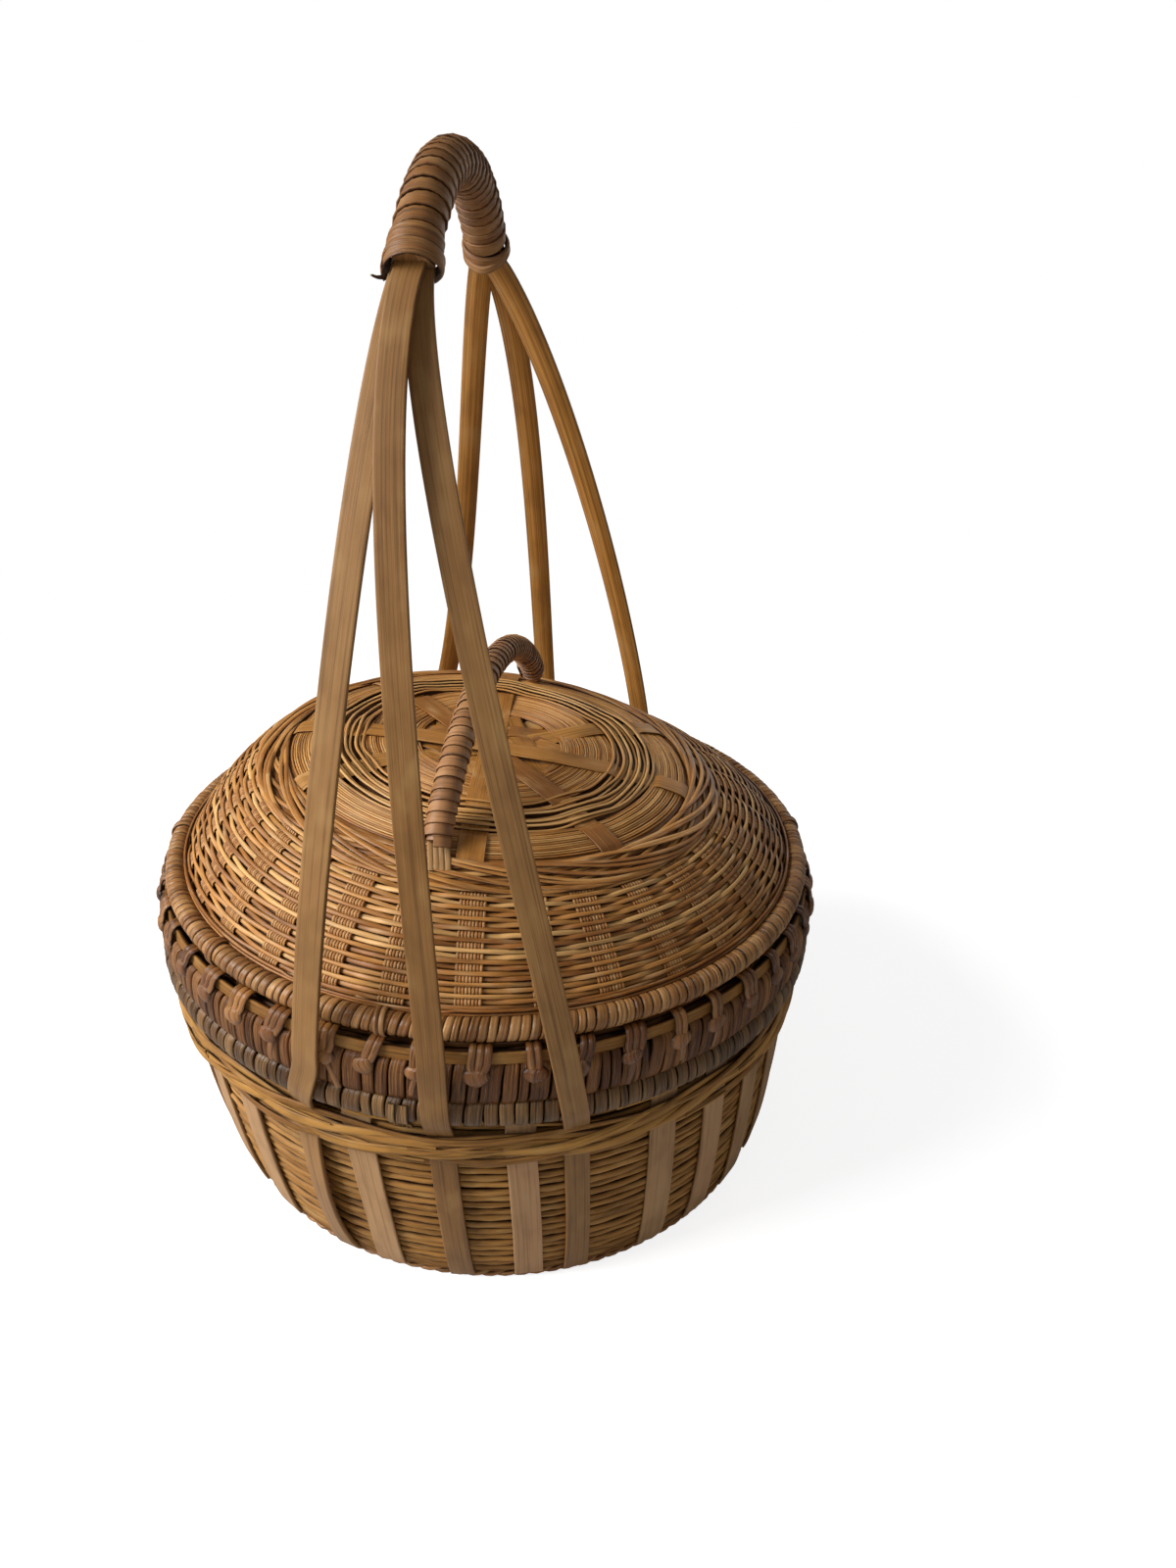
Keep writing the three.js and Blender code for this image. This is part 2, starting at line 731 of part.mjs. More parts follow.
// A short sleeve round an axis, between two shares of it
function sleeve(axis, inner, outer, fromShare, toShare) {
  const outlines = [];
  const sides = 2 * coreSides;
  for (let k = 0; k < sides; k++) {
    const angle = (turn * k) / sides;
    outlines.push(
      [
        [fromShare, inner],
        [toShare, inner],
        [toShare, outer],
        [fromShare, outer],
      ].map(([share, radius]) => around(axis(share), radius, angle).at),
    );
  }
  return loft(outlines, true);
}

// The arch's core, its winding, and the winding's flat ends that lie on the dome
const archLength = (archAngle + archFarAngle) * archRadius;
add("arch_core", rod(archAxis, archCoreRadius, archSteps), "bamboo");
const archWound = winding(
  archAxis,
  archCoreRadius + clearance,
  archStrapWidth,
  archStrapThickness,
  archLoops,
  archBareEnd / archLength,
);
add("arch_winding", archWound.geometry, "binding");

const tabSteps = 3;
function archTab(side) {
  const profile = [];
  const angle = (side * Math.PI) / 2 - archTwistAngle * degree;
  for (let i = tabSteps; i >= 0; i--) {
    const radius = archHalfSpan + archCoreRadius + (archTabLength * i) / tabSteps;
    const height = domeTop(radius * Math.cos(angle), radius * Math.sin(angle));
    profile.push([radius, height + clearance + archTabThickness]);
  }
  return uprightStrip(angle, profile, archTabWidth, archTabThickness);
}
add("arch_tab_near", archTab(-1), "strand");
add("arch_tab_far", archTab(1), "strand");

// The grip's winding over the bundled strips, and a collar round each of its ends
const gripLength = (gripNearAngle + gripFarAngle) * degree * gripBend;
const bundleCorner = Math.hypot(gripFan + legWidth / 2, legPitch + legThickness / 2);
const gripInner = bundleCorner + clearance;
const collarShare = collarWidth / gripLength;
const gripEndShare = collarShare + (gripStrapWidth / 2 + 2 * clearance) / gripLength;
const gripWound = winding(
  gripAxis,
  gripInner,
  gripStrapWidth,
  gripStrapThickness,
  gripLoops,
  gripEndShare,
);
add("grip_winding", gripWound.geometry, "binding");
const collarInner = gripInner / Math.cos(Math.PI / (2 * coreSides));
const collarOuter = collarInner + collarThickness;
add("grip_collar_near", sleeve(gripAxis, collarInner, collarOuter, 0, collarShare), "binding");
add("grip_collar_far", sleeve(gripAxis, collarInner, collarOuter, 1 - collarShare, 1), "binding");

const archGap = leastGap(archWound.stations, archStrapWidth, archStrapThickness);
const gripGap = leastGap(gripWound.stations, gripStrapWidth, gripStrapThickness);
console.log("least gap of the arch winding, mm:", archGap.toFixed(2));
console.log("least gap of the grip winding, mm:", gripGap.toFixed(2));

export default group;
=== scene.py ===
"""A lidded rattan basket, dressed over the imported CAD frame. Lengths in the helpers are millimetres."""
import math
import bpy
import numpy as np
from mathutils import Matrix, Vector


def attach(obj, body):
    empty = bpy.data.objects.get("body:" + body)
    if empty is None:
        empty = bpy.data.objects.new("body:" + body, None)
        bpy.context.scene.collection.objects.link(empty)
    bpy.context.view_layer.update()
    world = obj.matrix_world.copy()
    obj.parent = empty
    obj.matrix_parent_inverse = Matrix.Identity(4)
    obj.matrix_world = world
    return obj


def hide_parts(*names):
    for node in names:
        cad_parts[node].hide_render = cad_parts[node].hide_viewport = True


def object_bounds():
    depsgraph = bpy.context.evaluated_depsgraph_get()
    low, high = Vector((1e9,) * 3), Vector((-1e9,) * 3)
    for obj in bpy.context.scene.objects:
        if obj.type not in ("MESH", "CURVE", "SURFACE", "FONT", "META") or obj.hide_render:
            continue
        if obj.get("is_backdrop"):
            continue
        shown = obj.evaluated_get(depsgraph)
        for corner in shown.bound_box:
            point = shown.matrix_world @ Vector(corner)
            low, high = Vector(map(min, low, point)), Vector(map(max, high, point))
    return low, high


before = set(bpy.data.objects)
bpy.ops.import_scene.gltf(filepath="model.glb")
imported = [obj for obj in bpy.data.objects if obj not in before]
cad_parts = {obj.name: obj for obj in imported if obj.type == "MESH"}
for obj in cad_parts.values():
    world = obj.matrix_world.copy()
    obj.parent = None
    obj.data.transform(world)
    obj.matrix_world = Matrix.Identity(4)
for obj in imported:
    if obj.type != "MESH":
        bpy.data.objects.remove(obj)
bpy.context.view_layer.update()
rng = np.random.default_rng(20)
TURN = 2 * math.pi

# ---------------------------------------------------------------- camera
YAW, PITCH, ROLL = -0.0583, 0.4933, 0.0422
eye = (0.0747, -0.4945, 0.44695)
fwd = np.array([math.sin(YAW) * math.cos(PITCH), math.cos(YAW) * math.cos(PITCH), -math.sin(PITCH)])
right = np.array([math.cos(YAW), -math.sin(YAW), 0])
up = np.cross(right, fwd)
cam_x = math.cos(ROLL) * right + math.sin(ROLL) * up
cam_y = -math.sin(ROLL) * right + math.cos(ROLL) * up
camera = bpy.data.objects.new("camera", bpy.data.cameras.new("camera"))
bpy.context.scene.collection.objects.link(camera)
camera.matrix_world = Matrix([[cam_x[i], cam_y[i], -fwd[i], eye[i]] for i in range(3)] + [[0, 0, 0, 1]])
camera.data.sensor_width = 36
camera.data.lens = 27.2
bpy.context.scene.camera = camera


# ---------------------------------------------------------------- materials
def linear(code):
    out = []
    for i in (0, 2, 4):
        c = int(code[i:i + 2], 16) / 255
        out.append(c / 12.92 if c <= 0.04045 else ((c + 0.055) / 1.055) ** 2.4)
    return (*out, 1)


class Nodes:
    def __init__(self, name):
        self.mat = bpy.data.materials.new(name)
        self.mat.use_nodes = True
        self.tree = self.mat.node_tree
        self.tree.nodes.clear()

    def make(self, kind, **inputs):
        node = self.tree.nodes.new(kind)
        for key, value in inputs.items():
            slot = node.inputs[int(key[1:])] if key[0] == "i" and key[1:].isdigit() else node.inputs[key]
            if isinstance(value, bpy.types.NodeSocket):
                self.tree.links.new(value, slot)
            else:
                slot.default_value = value
        return node

    def math(self, op, a, b=0.0, clamp=False):
        node = self.make("ShaderNodeMath", i0=a, i1=b)
        node.operation = op
        node.use_clamp = clamp
        return node.outputs[0]

    def span(self, value, low, high, to_low=0.0, to_high=1.0, smooth=True):
        node = self.tree.nodes.new("ShaderNodeMapRange")
        node.interpolation_type = "SMOOTHSTEP" if smooth else "LINEAR"
        self.tree.links.new(value, node.inputs[0])
        for i, v in enumerate((low, high, to_low, to_high)):
            node.inputs[i + 1].default_value = v
        return node.outputs[0]

    def mix(self, factor, a, b, blend="MIX"):
        node = self.tree.nodes.new("ShaderNodeMix")
        node.data_type = "RGBA"
        node.blend_type = blend
        for i, v in ((0, factor), (6, a), (7, b)):
            if isinstance(v, bpy.types.NodeSocket):
                self.tree.links.new(v, node.inputs[i])
            else:
                node.inputs[i].default_value = v
        return node.outputs[2]

    def ramp(self, value, stops):
        node = self.tree.nodes.new("ShaderNodeValToRGB")
        self.tree.links.new(value, node.inputs[0])
        ends = node.color_ramp.elements
        while len(ends) < len(stops):
            ends.new(0.5)
        for e, (at, colour) in zip(ends, stops):
            e.position, e.color = at, linear(colour)
        return node.outputs[0]

    def split(self, attribute):
        node = self.tree.nodes.new("ShaderNodeAttribute")
        node.attribute_name = attribute
        return self.make("ShaderNodeSeparateXYZ", i0=node.outputs["Vector"]).outputs

    def noise(self, x, y, z, detail=2.0, rough=0.55):
        at = self.make("ShaderNodeCombineXYZ", i0=x, i1=y, i2=z).outputs[0]
        node = self.make("ShaderNodeTexNoise", Vector=at, Scale=1.0, Detail=detail, Roughness=rough)
        return node.outputs[0]

    def done(self, colour, rough, height, depth, coat=0.0, specular=0.5):
        bump = self.make("ShaderNodeBump", Strength=1.0, Distance=depth, Height=height)
        shader = self.tree.nodes.new("ShaderNodeBsdfPrincipled")
        self.tree.links.new(colour, shader.inputs["Base Color"])
        self.tree.links.new(rough, shader.inputs["Roughness"])
        self.tree.links.new(bump.outputs[0], shader.inputs["Normal"])
        shader.inputs["Specular IOR Level"].default_value = specular
        shader.inputs["Coat Weight"].default_value = coat
        shader.inputs["Coat Roughness"].default_value = 0.25
        out = self.tree.nodes.new("ShaderNodeOutputMaterial")
        self.tree.links.new(shader.outputs[0], out.inputs[0])
        return self.mat


def cane(name, tones, dark, light, rough=0.5, streak=0.5, blotch=0.5, gap_shade=0.5, cross=900, along=30,
         depth=0.00012, coat=0.0, specular=0.5, knots=0.0, inner=None):
    """Split cane or bamboo: fine streaks along the strand, blotches, painted shade on the flanks and back where strands
    meet, one tone per strand.
    A bamboo strip shows its pith, in the colours of inner, on its inner face."""
    n = Nodes(name)
    x, y, seed = n.split("grain")
    pick, worn, height = n.split("tone")
    far = n.math("MULTIPLY", seed, 97.0)
    fine = n.noise(n.math("ADD", n.math("MULTIPLY", x, along), far), n.math("MULTIPLY", y, cross), far, 3.0, 0.6)
    hair = n.noise(n.math("ADD", n.math("MULTIPLY", x, along * 4), far), n.math("MULTIPLY", y, cross * 3.2), far, 2.0)
    patch = n.noise(n.math("ADD", n.math("MULTIPLY", x, 45.0), far), n.math("MULTIPLY", y, 90.0), far, 2.0)
    slow = n.noise(n.math("ADD", n.math("MULTIPLY", x, 9.0), far), n.math("MULTIPLY", y, 20.0), far, 1.0)
    base = n.ramp(n.math("ADD", n.math("MULTIPLY", pick, 0.7), n.math("MULTIPLY", slow, 0.3)), tones)
    if inner:
        face = n.span(height, -0.5, -0.8)
        lines = n.noise(n.math("ADD", n.math("MULTIPLY", x, 5.0), far), n.math("MULTIPLY", y, 1500.0), far, 2.0)
        pith = n.mix(n.span(lines, 0.42, 0.62), linear(inner[0]), linear(inner[1]))
        base = n.mix(face, base, pith)
    colour = n.mix(n.math("MULTIPLY", n.span(fine, 0.45, 0.7), streak), base, linear(dark))
    colour = n.mix(n.math("MULTIPLY", n.span(hair, 0.5, 0.75), streak * 0.55), colour, linear(light))
    colour = n.mix(n.math("MULTIPLY", n.span(patch, 0.5, 0.75), blotch * 0.6), colour, linear(light))
    colour = n.mix(n.math("MULTIPLY", n.span(patch, 0.5, 0.28), blotch * 0.5), colour, linear(dark))
    # painted shade: the flanks and back of each strand are darkened towards the dark colour, standing in for the shade
    # in the gaps between strands
    painted_flank_shade = n.span(height, 0.75, -0.4)
    if inner:
        painted_flank_shade = n.math("MULTIPLY", painted_flank_shade, n.span(height, -0.86, -0.7))
    colour = n.mix(n.math("MULTIPLY", painted_flank_shade, gap_shade), colour, linear(dark))
    if knots:
        ring = n.noise(n.math("ADD", n.math("MULTIPLY", x, 260.0), far), n.math("MULTIPLY", y, 160.0), far, 1.0)
        colour = n.mix(n.math("MULTIPLY", n.span(ring, 0.68, 0.76), knots), colour, linear(dark))
    gloss = n.math("ADD", n.math("MULTIPLY", patch, 0.22), rough - 0.11)
    gloss = n.math("ADD", gloss, n.math("MULTIPLY", fine, 0.12), clamp=True)
    relief = n.math("ADD", fine, n.math("MULTIPLY", hair, 0.5))
    return n.done(colour, gloss, relief, depth, coat=coat, specular=specular)


BOWL = cane("bowl_weave", [(0.15, "875926"), (0.4, "a17033"), (0.65, "b47f3f"), (0.85, "c8954f")],
            "28150a", "d3aa6c", 0.5, 0.5, 0.55, 1.0, specular=0.25)
STAVE = cane("stave", [(0.15, "a57b52"), (0.45, "bf966b"), (0.7, "bd9067"), (0.85, "d0ad82")],
             "6a4a28", "c0a47a", 0.55, 0.4, 0.5, 0.6, cross=900, along=14, specular=0.22)
LEG = cane("handle_strip", [(0.2, "83592b"), (0.5, "9b7142"), (0.8, "b38957")],
           "4c3014", "bd965e", 0.42, 0.55, 0.45, 0.4, cross=1100, along=7, depth=0.00006, specular=0.28,
           inner=("b9803a", "96622a"))
BAND = cane("flat_strand", [(0.15, "865825"), (0.45, "9e6d32"), (0.8, "b88540")],
            "2e1a0a", "c99f61", 0.5, 0.5, 0.5, 1.0, specular=0.22)
RIM = cane("rim_binding", [(0.15, "482911"), (0.4, "633b1c"), (0.65, "7d5029"), (0.85, "966536")],
           "120701", "b98550", 0.36, 0.85, 0.5, 1.0, cross=1300, along=20, depth=0.0004, knots=0.2, specular=0.22)
KNOT = cane("rim_knot", [(0.15, "5c3414"), (0.4, "784720"), (0.65, "935f30"), (0.85, "aa733c")],
            "150801", "cc9b60", 0.3, 0.7, 0.5, 1.0, cross=1500, along=20, depth=0.0004, specular=0.45)
GREY = cane("grey_binding", [(0.15, "462c14"), (0.4, "624223"), (0.65, "7a5630"), (0.85, "8f6a3f")],
            "110802", "b8945e", 0.3, 0.85, 0.5, 1.0, cross=1400, along=18, depth=0.0003, specular=0.32)
LIDRING = cane("lid_ring_binding", [(0.15, "7e4f26"), (0.4, "966333"), (0.65, "ad7943"), (0.85, "c4925b")],
               "241003", "e2b67a", 0.34, 0.65, 0.5, 1.0, cross=1100, along=22, depth=0.0002, specular=0.38)
LID = cane("lid_weave", [(0.15, "925820"), (0.4, "b17331"), (0.65, "cc8d44"), (0.85, "e7b26b")],
           "351604", "efcd98", 0.42, 0.45, 0.5, 1.0, specular=0.45)
STAKE = cane("lid_stake", [(0.2, "a96d34"), (0.5, "bd8245"), (0.85, "cd9a5f")],
             "4a260e", "e0bb88", 0.5, 0.5, 0.3, 1.0, cross=1300, along=15, specular=0.4)
BROAD = cane("lid_broad_strip", [(0.2, "985e25"), (0.5, "b47731"), (0.85, "cf964b")],
             "4a260b", "e6bd84", 0.42, 0.7, 0.7, 0.9, cross=2200, along=14, specular=0.32)
GRIP = cane("grip_cane", [(0.15, "71451e"), (0.45, "895a2d"), (0.8, "a3743f")],
            "2b1405", "c29763", 0.46, 0.75, 0.65, 0.8, cross=1100, along=30, depth=0.0003, specular=0.4)
ARCH = cane("arch_cane", [(0.15, "8f6039"), (0.45, "ab784a"), (0.8, "c39262")],
            "2d1607", "d3a677", 0.44, 0.65, 0.6, 1.0, cross=900, along=28, depth=0.0002, specular=0.5)
PALE = cane("pale_strip", [(0.2, "976e3f"), (0.5, "ad8350"), (0.85, "c09a66")],
            "5e4020", "cdb585", 0.55, 0.5, 0.4, 0.7)
WORN = cane("worn_foot", [(0.2, "5d564a"), (0.8, "7d715f")], "332c24", "a39880", 0.5, 0.5, 0.5, 0.6)
# near-black painted shade: the cores of the hoops and the lid ring, seen in the gaps between their wraps
SHADOW_CORE = cane("shadow_core", [(0.2, "20140b"), (0.8, "2c1c10")], "0e0703", "352315", 0.8, 0.5, 0.5, 0.5, specular=0.1)


# ---------------------------------------------------------------- strands
def unit(v):
    return v / np.maximum(np.linalg.norm(v, axis=-1, keepdims=True), 1e-12)


SPLIT = np.array([(-.62, -1), (.62, -1), (1, -.35), (.93, .3), (.55, .82), (0, 1), (-.55, .82), (-.93, .3), (-1, -.35)])
ROUND = np.array([(math.cos(a), math.sin(a)) for a in np.arange(8) * TURN / 8])
SLAT = np.array([(-.96, -1), (.96, -1), (1, -.72), (1, .66), (.975, .88), (.93, .97), (.8, 1),
                 (-.8, 1), (-.93, .97), (-.975, .88), (-1, .66), (-1, -.72)])


ROUND2 = np.array([(-.7, -1), (.7, -1), (1, -.2), (.86, .5), (.45, .9), (0, 1), (-.45, .9), (-.86, .5), (-1, -.2)])


WRAP = np.array([(-.85, -1), (.85, -1), (1, -.3), (.97, .35), (.85, .75), (.68, .9), (.6, .8), (.5, .95), (.22, 1),
                 (.12, .88), (0, 1), (-.3, 1), (-.4, .85), (-.5, .96), (-.72, .88), (-.88, .7), (-.97, .35), (-1, -.3)])
BEAD = np.array([(-.7, -1), (.7, -1), (1, -.5), (.93, .1), (.7, .6), (.4, .88), (.14, .98), (0, .86), (-.14, .98),
                 (-.4, .88), (-.7, .6), (-.93, .1), (-1, -.5)])


def ridged(count, deep):
    """A cane's section with ridges along it."""
    u = np.linspace(0.98, -0.98, 4 * count + 1)
    v = 0.95 * (1 - np.abs(u) ** 5) - deep * np.cos(math.pi * count * (u + 1) / 2) ** 2
    return np.array([(-.8, -1), (.8, -1)] + list(zip(u, v)))


class Strands:
    """Many strips of cane in one mesh. Each carries its length, its place across and its own tone."""

    def __init__(self):
        self.co, self.grain, self.tone, self.loops, self.starts = [], [], [], [], []
        self.points = self.corners = 0

    def lay(self, at, out, width, thick, shape=SPLIT, closed=False, twist=0.0, pick=None, seed=None):
        at, out = np.asarray(at, float), np.asarray(out, float)
        if closed:
            along = unit(np.roll(at, -1, 0) - np.roll(at, 1, 0))
        else:
            along = unit(np.gradient(at, axis=0))
        side = unit(np.cross(out, along))
        out = np.cross(along, side)
        c, s = np.cos(twist), np.sin(twist)
        if np.ndim(twist):
            c, s = c[:, None], s[:, None]
        side, out = c * side + s * out, c * out - s * side
        n, k = len(at), len(shape)
        half_w = np.broadcast_to(np.asarray(width, float) / 2, (n,))[:, None, None]
        half_t = np.broadcast_to(np.asarray(thick, float) / 2, (n,))[:, None, None]
        u, v = shape[:, 0][None, :, None], shape[:, 1][None, :, None]
        co = at[:, None] + side[:, None] * (u * half_w) + out[:, None] * (v * half_t)
        step = np.linalg.norm(np.diff(at, axis=0), axis=1)
        length = np.concatenate([[0], np.cumsum(step)])
        grain = np.empty((n, k, 3))
        grain[..., 0] = length[:, None] * 0.001
        around = np.cumsum(np.hypot(*(np.roll(shape, -1, 0) - shape).T * np.array([[1], [.6]])))
        grain[..., 1] = (shape[:, 0] * half_w[:, :, 0] + 0.4 * around * half_t[:, :, 0]) * 0.001
        grain[..., 2] = rng.random() if seed is None else seed
        tone = np.empty((n, k, 3))
        tone[..., 0] = rng.random() if pick is None else pick
        tone[..., 1] = rng.random()
        tone[..., 2] = shape[:, 1]
        i = np.arange(n if closed else n - 1)[:, None]
        a, b = i * k, ((i + 1) % n) * k
        j = np.arange(k)[None, :]
        m = (j + 1) % k
        quads = np.stack([a + j, a + m, b + m, b + j], -1).reshape(-1, 4) + self.points
        self.loops.append(quads.ravel())
        self.starts.append(np.arange(len(quads)) * 4 + self.corners)
        self.corners += 4 * len(quads)
        if not closed:
            for cap in (np.arange(k)[::-1], np.arange(k) + (n - 1) * k):
                self.loops.append(cap + self.points)
                self.starts.append(np.array([self.corners]))
                self.corners += k
        self.co.append(co.reshape(-1, 3))
        self.grain.append(grain.reshape(-1, 3))
        self.tone.append(tone.reshape(-1, 3))
        self.points += n * k

    def piece(self, name, body, material, slot, *nodes):
        mesh = bpy.data.meshes.new(name)
        co = np.concatenate(self.co) * 0.001
        mesh.vertices.add(len(co))
        mesh.vertices.foreach_set("co", co.astype(np.float32).ravel())
        loops, starts = np.concatenate(self.loops), np.concatenate(self.starts)
        mesh.loops.add(len(loops))
        mesh.loops.foreach_set("vertex_index", loops.astype(np.int32))
        mesh.polygons.add(len(starts))
        mesh.polygons.foreach_set("loop_start", starts.astype(np.int32))
        mesh.update(calc_edges=True)
        for key, values in (("grain", self.grain), ("tone", self.tone)):
            layer = mesh.attributes.new(key, "FLOAT_VECTOR", "POINT")
            layer.data.foreach_set("vector", np.concatenate(values).astype(np.float32).ravel())
        mesh.polygons.foreach_set("use_smooth", np.ones(len(starts), bool))
        mesh.set_sharp_from_angle(angle=math.radians(62))
        mesh.materials.append(material)
        obj = bpy.data.objects.new(name, mesh)
        bpy.context.scene.collection.objects.link(obj)
        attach(obj, body)
        if nodes:
            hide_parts(*nodes)
        return obj


def wander(n, waves, size, closed=True):
    """A smooth random line of n values."""
    t = np.linspace(0, TURN, n, endpoint=not closed)
    out = np.zeros(n)
    for w in range(1, waves + 1):
        out += rng.normal() * np.sin(w * t + rng.random() * TURN) / math.sqrt(w)
    return out * size / math.sqrt(1 + math.log(waves))


def polar(angle, r, z):
    angle, r, z = np.broadcast_arrays(angle, r, z)
    return np.stack([r * np.cos(angle), r * np.sin(angle), z], -1)


def ease(share):
    s = np.clip(share, 0, 1)
    return s * s * (3 - 2 * s)


# ---------------------------------------------------------------- shapes that the CAD gives
FOOT_R, RIM_R, BAND_Z, LEAN = 131.0, 148.0, 93.0, 6.0


def bowl_r(z):
    d = np.clip((BAND_Z - z) / BAND_Z, 0, 1)
    return FOOT_R + (RIM_R - FOOT_R) * (1 - d ** 1.2) ** 0.42


def bowl_x(z):
    return LEAN * np.clip((BAND_Z - z) / BAND_Z, 0, None)


class Profile:
    """A curve of radius and height, walked by its length."""

    def __init__(self, r, z, flip=1):
        self.r, self.z = r, z
        self.s = np.concatenate([[0], np.cumsum(np.hypot(np.diff(r), np.diff(z)))])
        dr, dz = np.gradient(r), np.gradient(z)
        size = np.hypot(dr, dz)
        self.nr, self.nz = flip * dz / size, -flip * dr / size

    def at(self, s):
        return tuple(np.interp(s, self.s, v) for v in (self.r, self.z, self.nr, self.nz))


def surface(profile, angle, s, lift, lean=None):
    """Points at an angle and a length up the profile, lifted off it, with the outward direction."""
    r, z, nr, nz = profile.at(s)
    r, z = r + nr * lift, z + nz * lift
    at = polar(angle, r, z)
    if lean is not None:
        at[..., 0] += lean(z)
    return at, polar(angle, nr, nz)


zs = 144.5 * np.linspace(0, 1, 900) ** 2 + 0.3
wall = Profile(bowl_r(zs), zs)
SIDE_STAVES, SIDE_START, BETWEEN = 10, 25.5, 12.9
arc = 90 - SIDE_START
stave_angles = [s + arc * (2 * i / (SIDE_STAVES + 1) - 1) for s in (0, 180) for i in range(1, SIDE_STAVES + 1)]
between = {"near_left": -90 - BETWEEN, "near_right": -90 + BETWEEN, "far_left": 90 - BETWEEN, "far_right": 90 + BETWEEN}
leg_angles = [-90 + a for a in (-22.3, 0.7, 21.7)] + [90 - a for a in (-22.5, 2, 24.5)]
places = np.sort(np.mod(np.array(stave_angles + list(between.values()) + leg_angles), 360))


def place_of(angle):
    """Which upright stands at an angle: whole numbers at the uprights, halves between them."""
    a = np.mod(np.degrees(angle), 360)
    x = np.concatenate([places - 360, places, places + 360])
    return np.interp(a, x, np.arange(len(x)) - len(places))


# ---------------------------------------------------------------- bowl weave
PITCH_MM = 4.3
angle = np.linspace(0, TURN, 420, endpoint=False)
beat = np.cos(math.pi * place_of(angle))
half = np.exp(-((np.mod(place_of(angle), 1) - 0.5) / 0.13) ** 2)
rows = int((wall.s[-1] - 2) / PITCH_MM)
low_rows, shaded_neck_rows = Strands(), Strands()
for i in range(rows):
    s = 2.0 + PITCH_MM * (i + 0.5) + wander(len(angle), 9, 0.2)
    bite = np.abs(beat) ** 6
    wave = (-1) ** i * (np.sign(beat) * bite * 0.5 + 0.3 * half)
    lift = -1.3 - 0.3 * bite + wave + wander(len(angle), 9, 0.3)
    at, out = surface(wall, angle, s, lift, bowl_x)
    width = 3.3 - 0.1 * bite + wander(len(angle), 11, 0.22)
    # rows above the band take the dark rim material: painted shade in the neck under the hoops
    rows_of = shaded_neck_rows if PITCH_MM * i > 103 else low_rows
    rows_of.lay(at, out, width, 2.9, ROUND2, closed=True, pick=rng.beta(2.2, 2.2))
low_rows.piece("bowl_rows", "basket", BOWL, "bowl_weave", "bowl_wall")
shaded_neck_rows.piece("bowl_rows_in_the_neck", "basket", RIM, "bowl_weave")

# rows behind the wall in the dark rim material: painted shade seen through the gaps between the outer rows
shaded_backing_rows = Strands()
angle = np.linspace(0, TURN, 150, endpoint=False)
for i in range(rows + 1):
    at, out = surface(wall, angle, min(1.6 + PITCH_MM * i, wall.s[-1] - 1.5), -2.7, bowl_x)
    shaded_backing_rows.lay(at, out, 3.0, 1.2, closed=True, pick=0.2 + 0.3 * rng.random())
shaded_backing_rows.piece("bowl_rows_within", "basket", RIM, "bowl_weave")

stakes = Strands()
for a in np.radians(places):
    s = np.linspace(2, wall.s[-1] - 1, 60)
    at, out = surface(wall, a, s, -3.3, bowl_x)
    stakes.lay(at, out, 9.0, 0.9)
stakes.piece("bowl_inner_stakes", "basket", STAVE, "stave")

# ---------------------------------------------------------------- staves
for name, deg in [("%s_%d" % (side, i + 1), stave_angles[10 * k + i])
                  for k, side in enumerate(("right", "left")) for i in range(10)] + list(between.items()):
    a = math.radians(deg)
    z = 104.2 * np.linspace(0.11, 1, 70) ** 1.4
    s = np.interp(z, wall.z, wall.s)
    bow = rng.uniform(0.0, 0.35)
    share = np.clip((z - 4) / 84, 0, 1)
    lift = 1.0 + bow * np.sin(math.pi * share) ** 1.5 - 0.25 * ease((z - 88) / 10)
    drift = (rng.normal() * 0.6 * np.sin(math.pi * share) + wander(len(z), 3, 0.12, False)) / 140
    at, out = surface(wall, a + drift, s, lift, bowl_x)
    stave = Strands()
    twist = rng.normal() * 0.05 * np.sin(math.pi * share)
    stave.lay(at, out, 13 * (1 + rng.normal() * 0.03) * np.ones(len(z)), 1.5, SLAT, twist=twist,
              pick=rng.uniform(0.05, 0.95))
    stave.piece("stave_" + name + "_strip", "basket", STAVE, "stave", "stave_" + name)


# ---------------------------------------------------------------- handle strips
def turned(deg):
    a = math.radians(deg)
    return np.array([math.sin(a), math.cos(a), 0]), np.array([math.cos(a), -math.sin(a), 0])


class Arc:
    """A circular arc in an upright plane: place, direction, outer side and the plane's side."""

    def __init__(self, crown, bend, twist, near, far):
        self.crown, self.bend, self.near, self.far = np.array(crown, float), bend, near, far
        self.forward, self.sideways = turned(twist)

    def at(self, share):
        a = np.radians(-self.near + (self.near + self.far) * np.asarray(share, float))[..., None]
        lift = np.array([0, 0, 1.0])
        out = self.forward * np.sin(a) + lift * np.cos(a)
        along = self.forward * np.cos(a) - lift * np.sin(a)
        return self.crown - lift * self.bend + out * self.bend, along, out

    def length(self):
        return math.radians(self.near + self.far) * self.bend


GRIP_ARC = Arc((-14.8, 0, 439.9), 70, 3.5, 55.3, 60)
LEG_W, LEG_T, LAYER, FAN = 11.0, 1.9, 2.2, 1.6


def smooth_path(points, per=8):
    """A Catmull-Rom curve through points, with their extra columns."""
    p = np.concatenate([[2 * points[0] - points[1]], points, [2 * points[-1] - points[-2]]])
    rows = []
    for i in range(1, len(p) - 2):
        t = (np.arange(per) / per)[:, None]
        a, b, c, d = p[i - 1:i + 3]
        rows.append(0.5 * (2 * b + (c - a) * t + (2 * a - 5 * b + 4 * c - d) * t ** 2
                           + (3 * b - a - 3 * c + d) * t ** 3))
    return np.concatenate(rows + [p[-2:-1]])


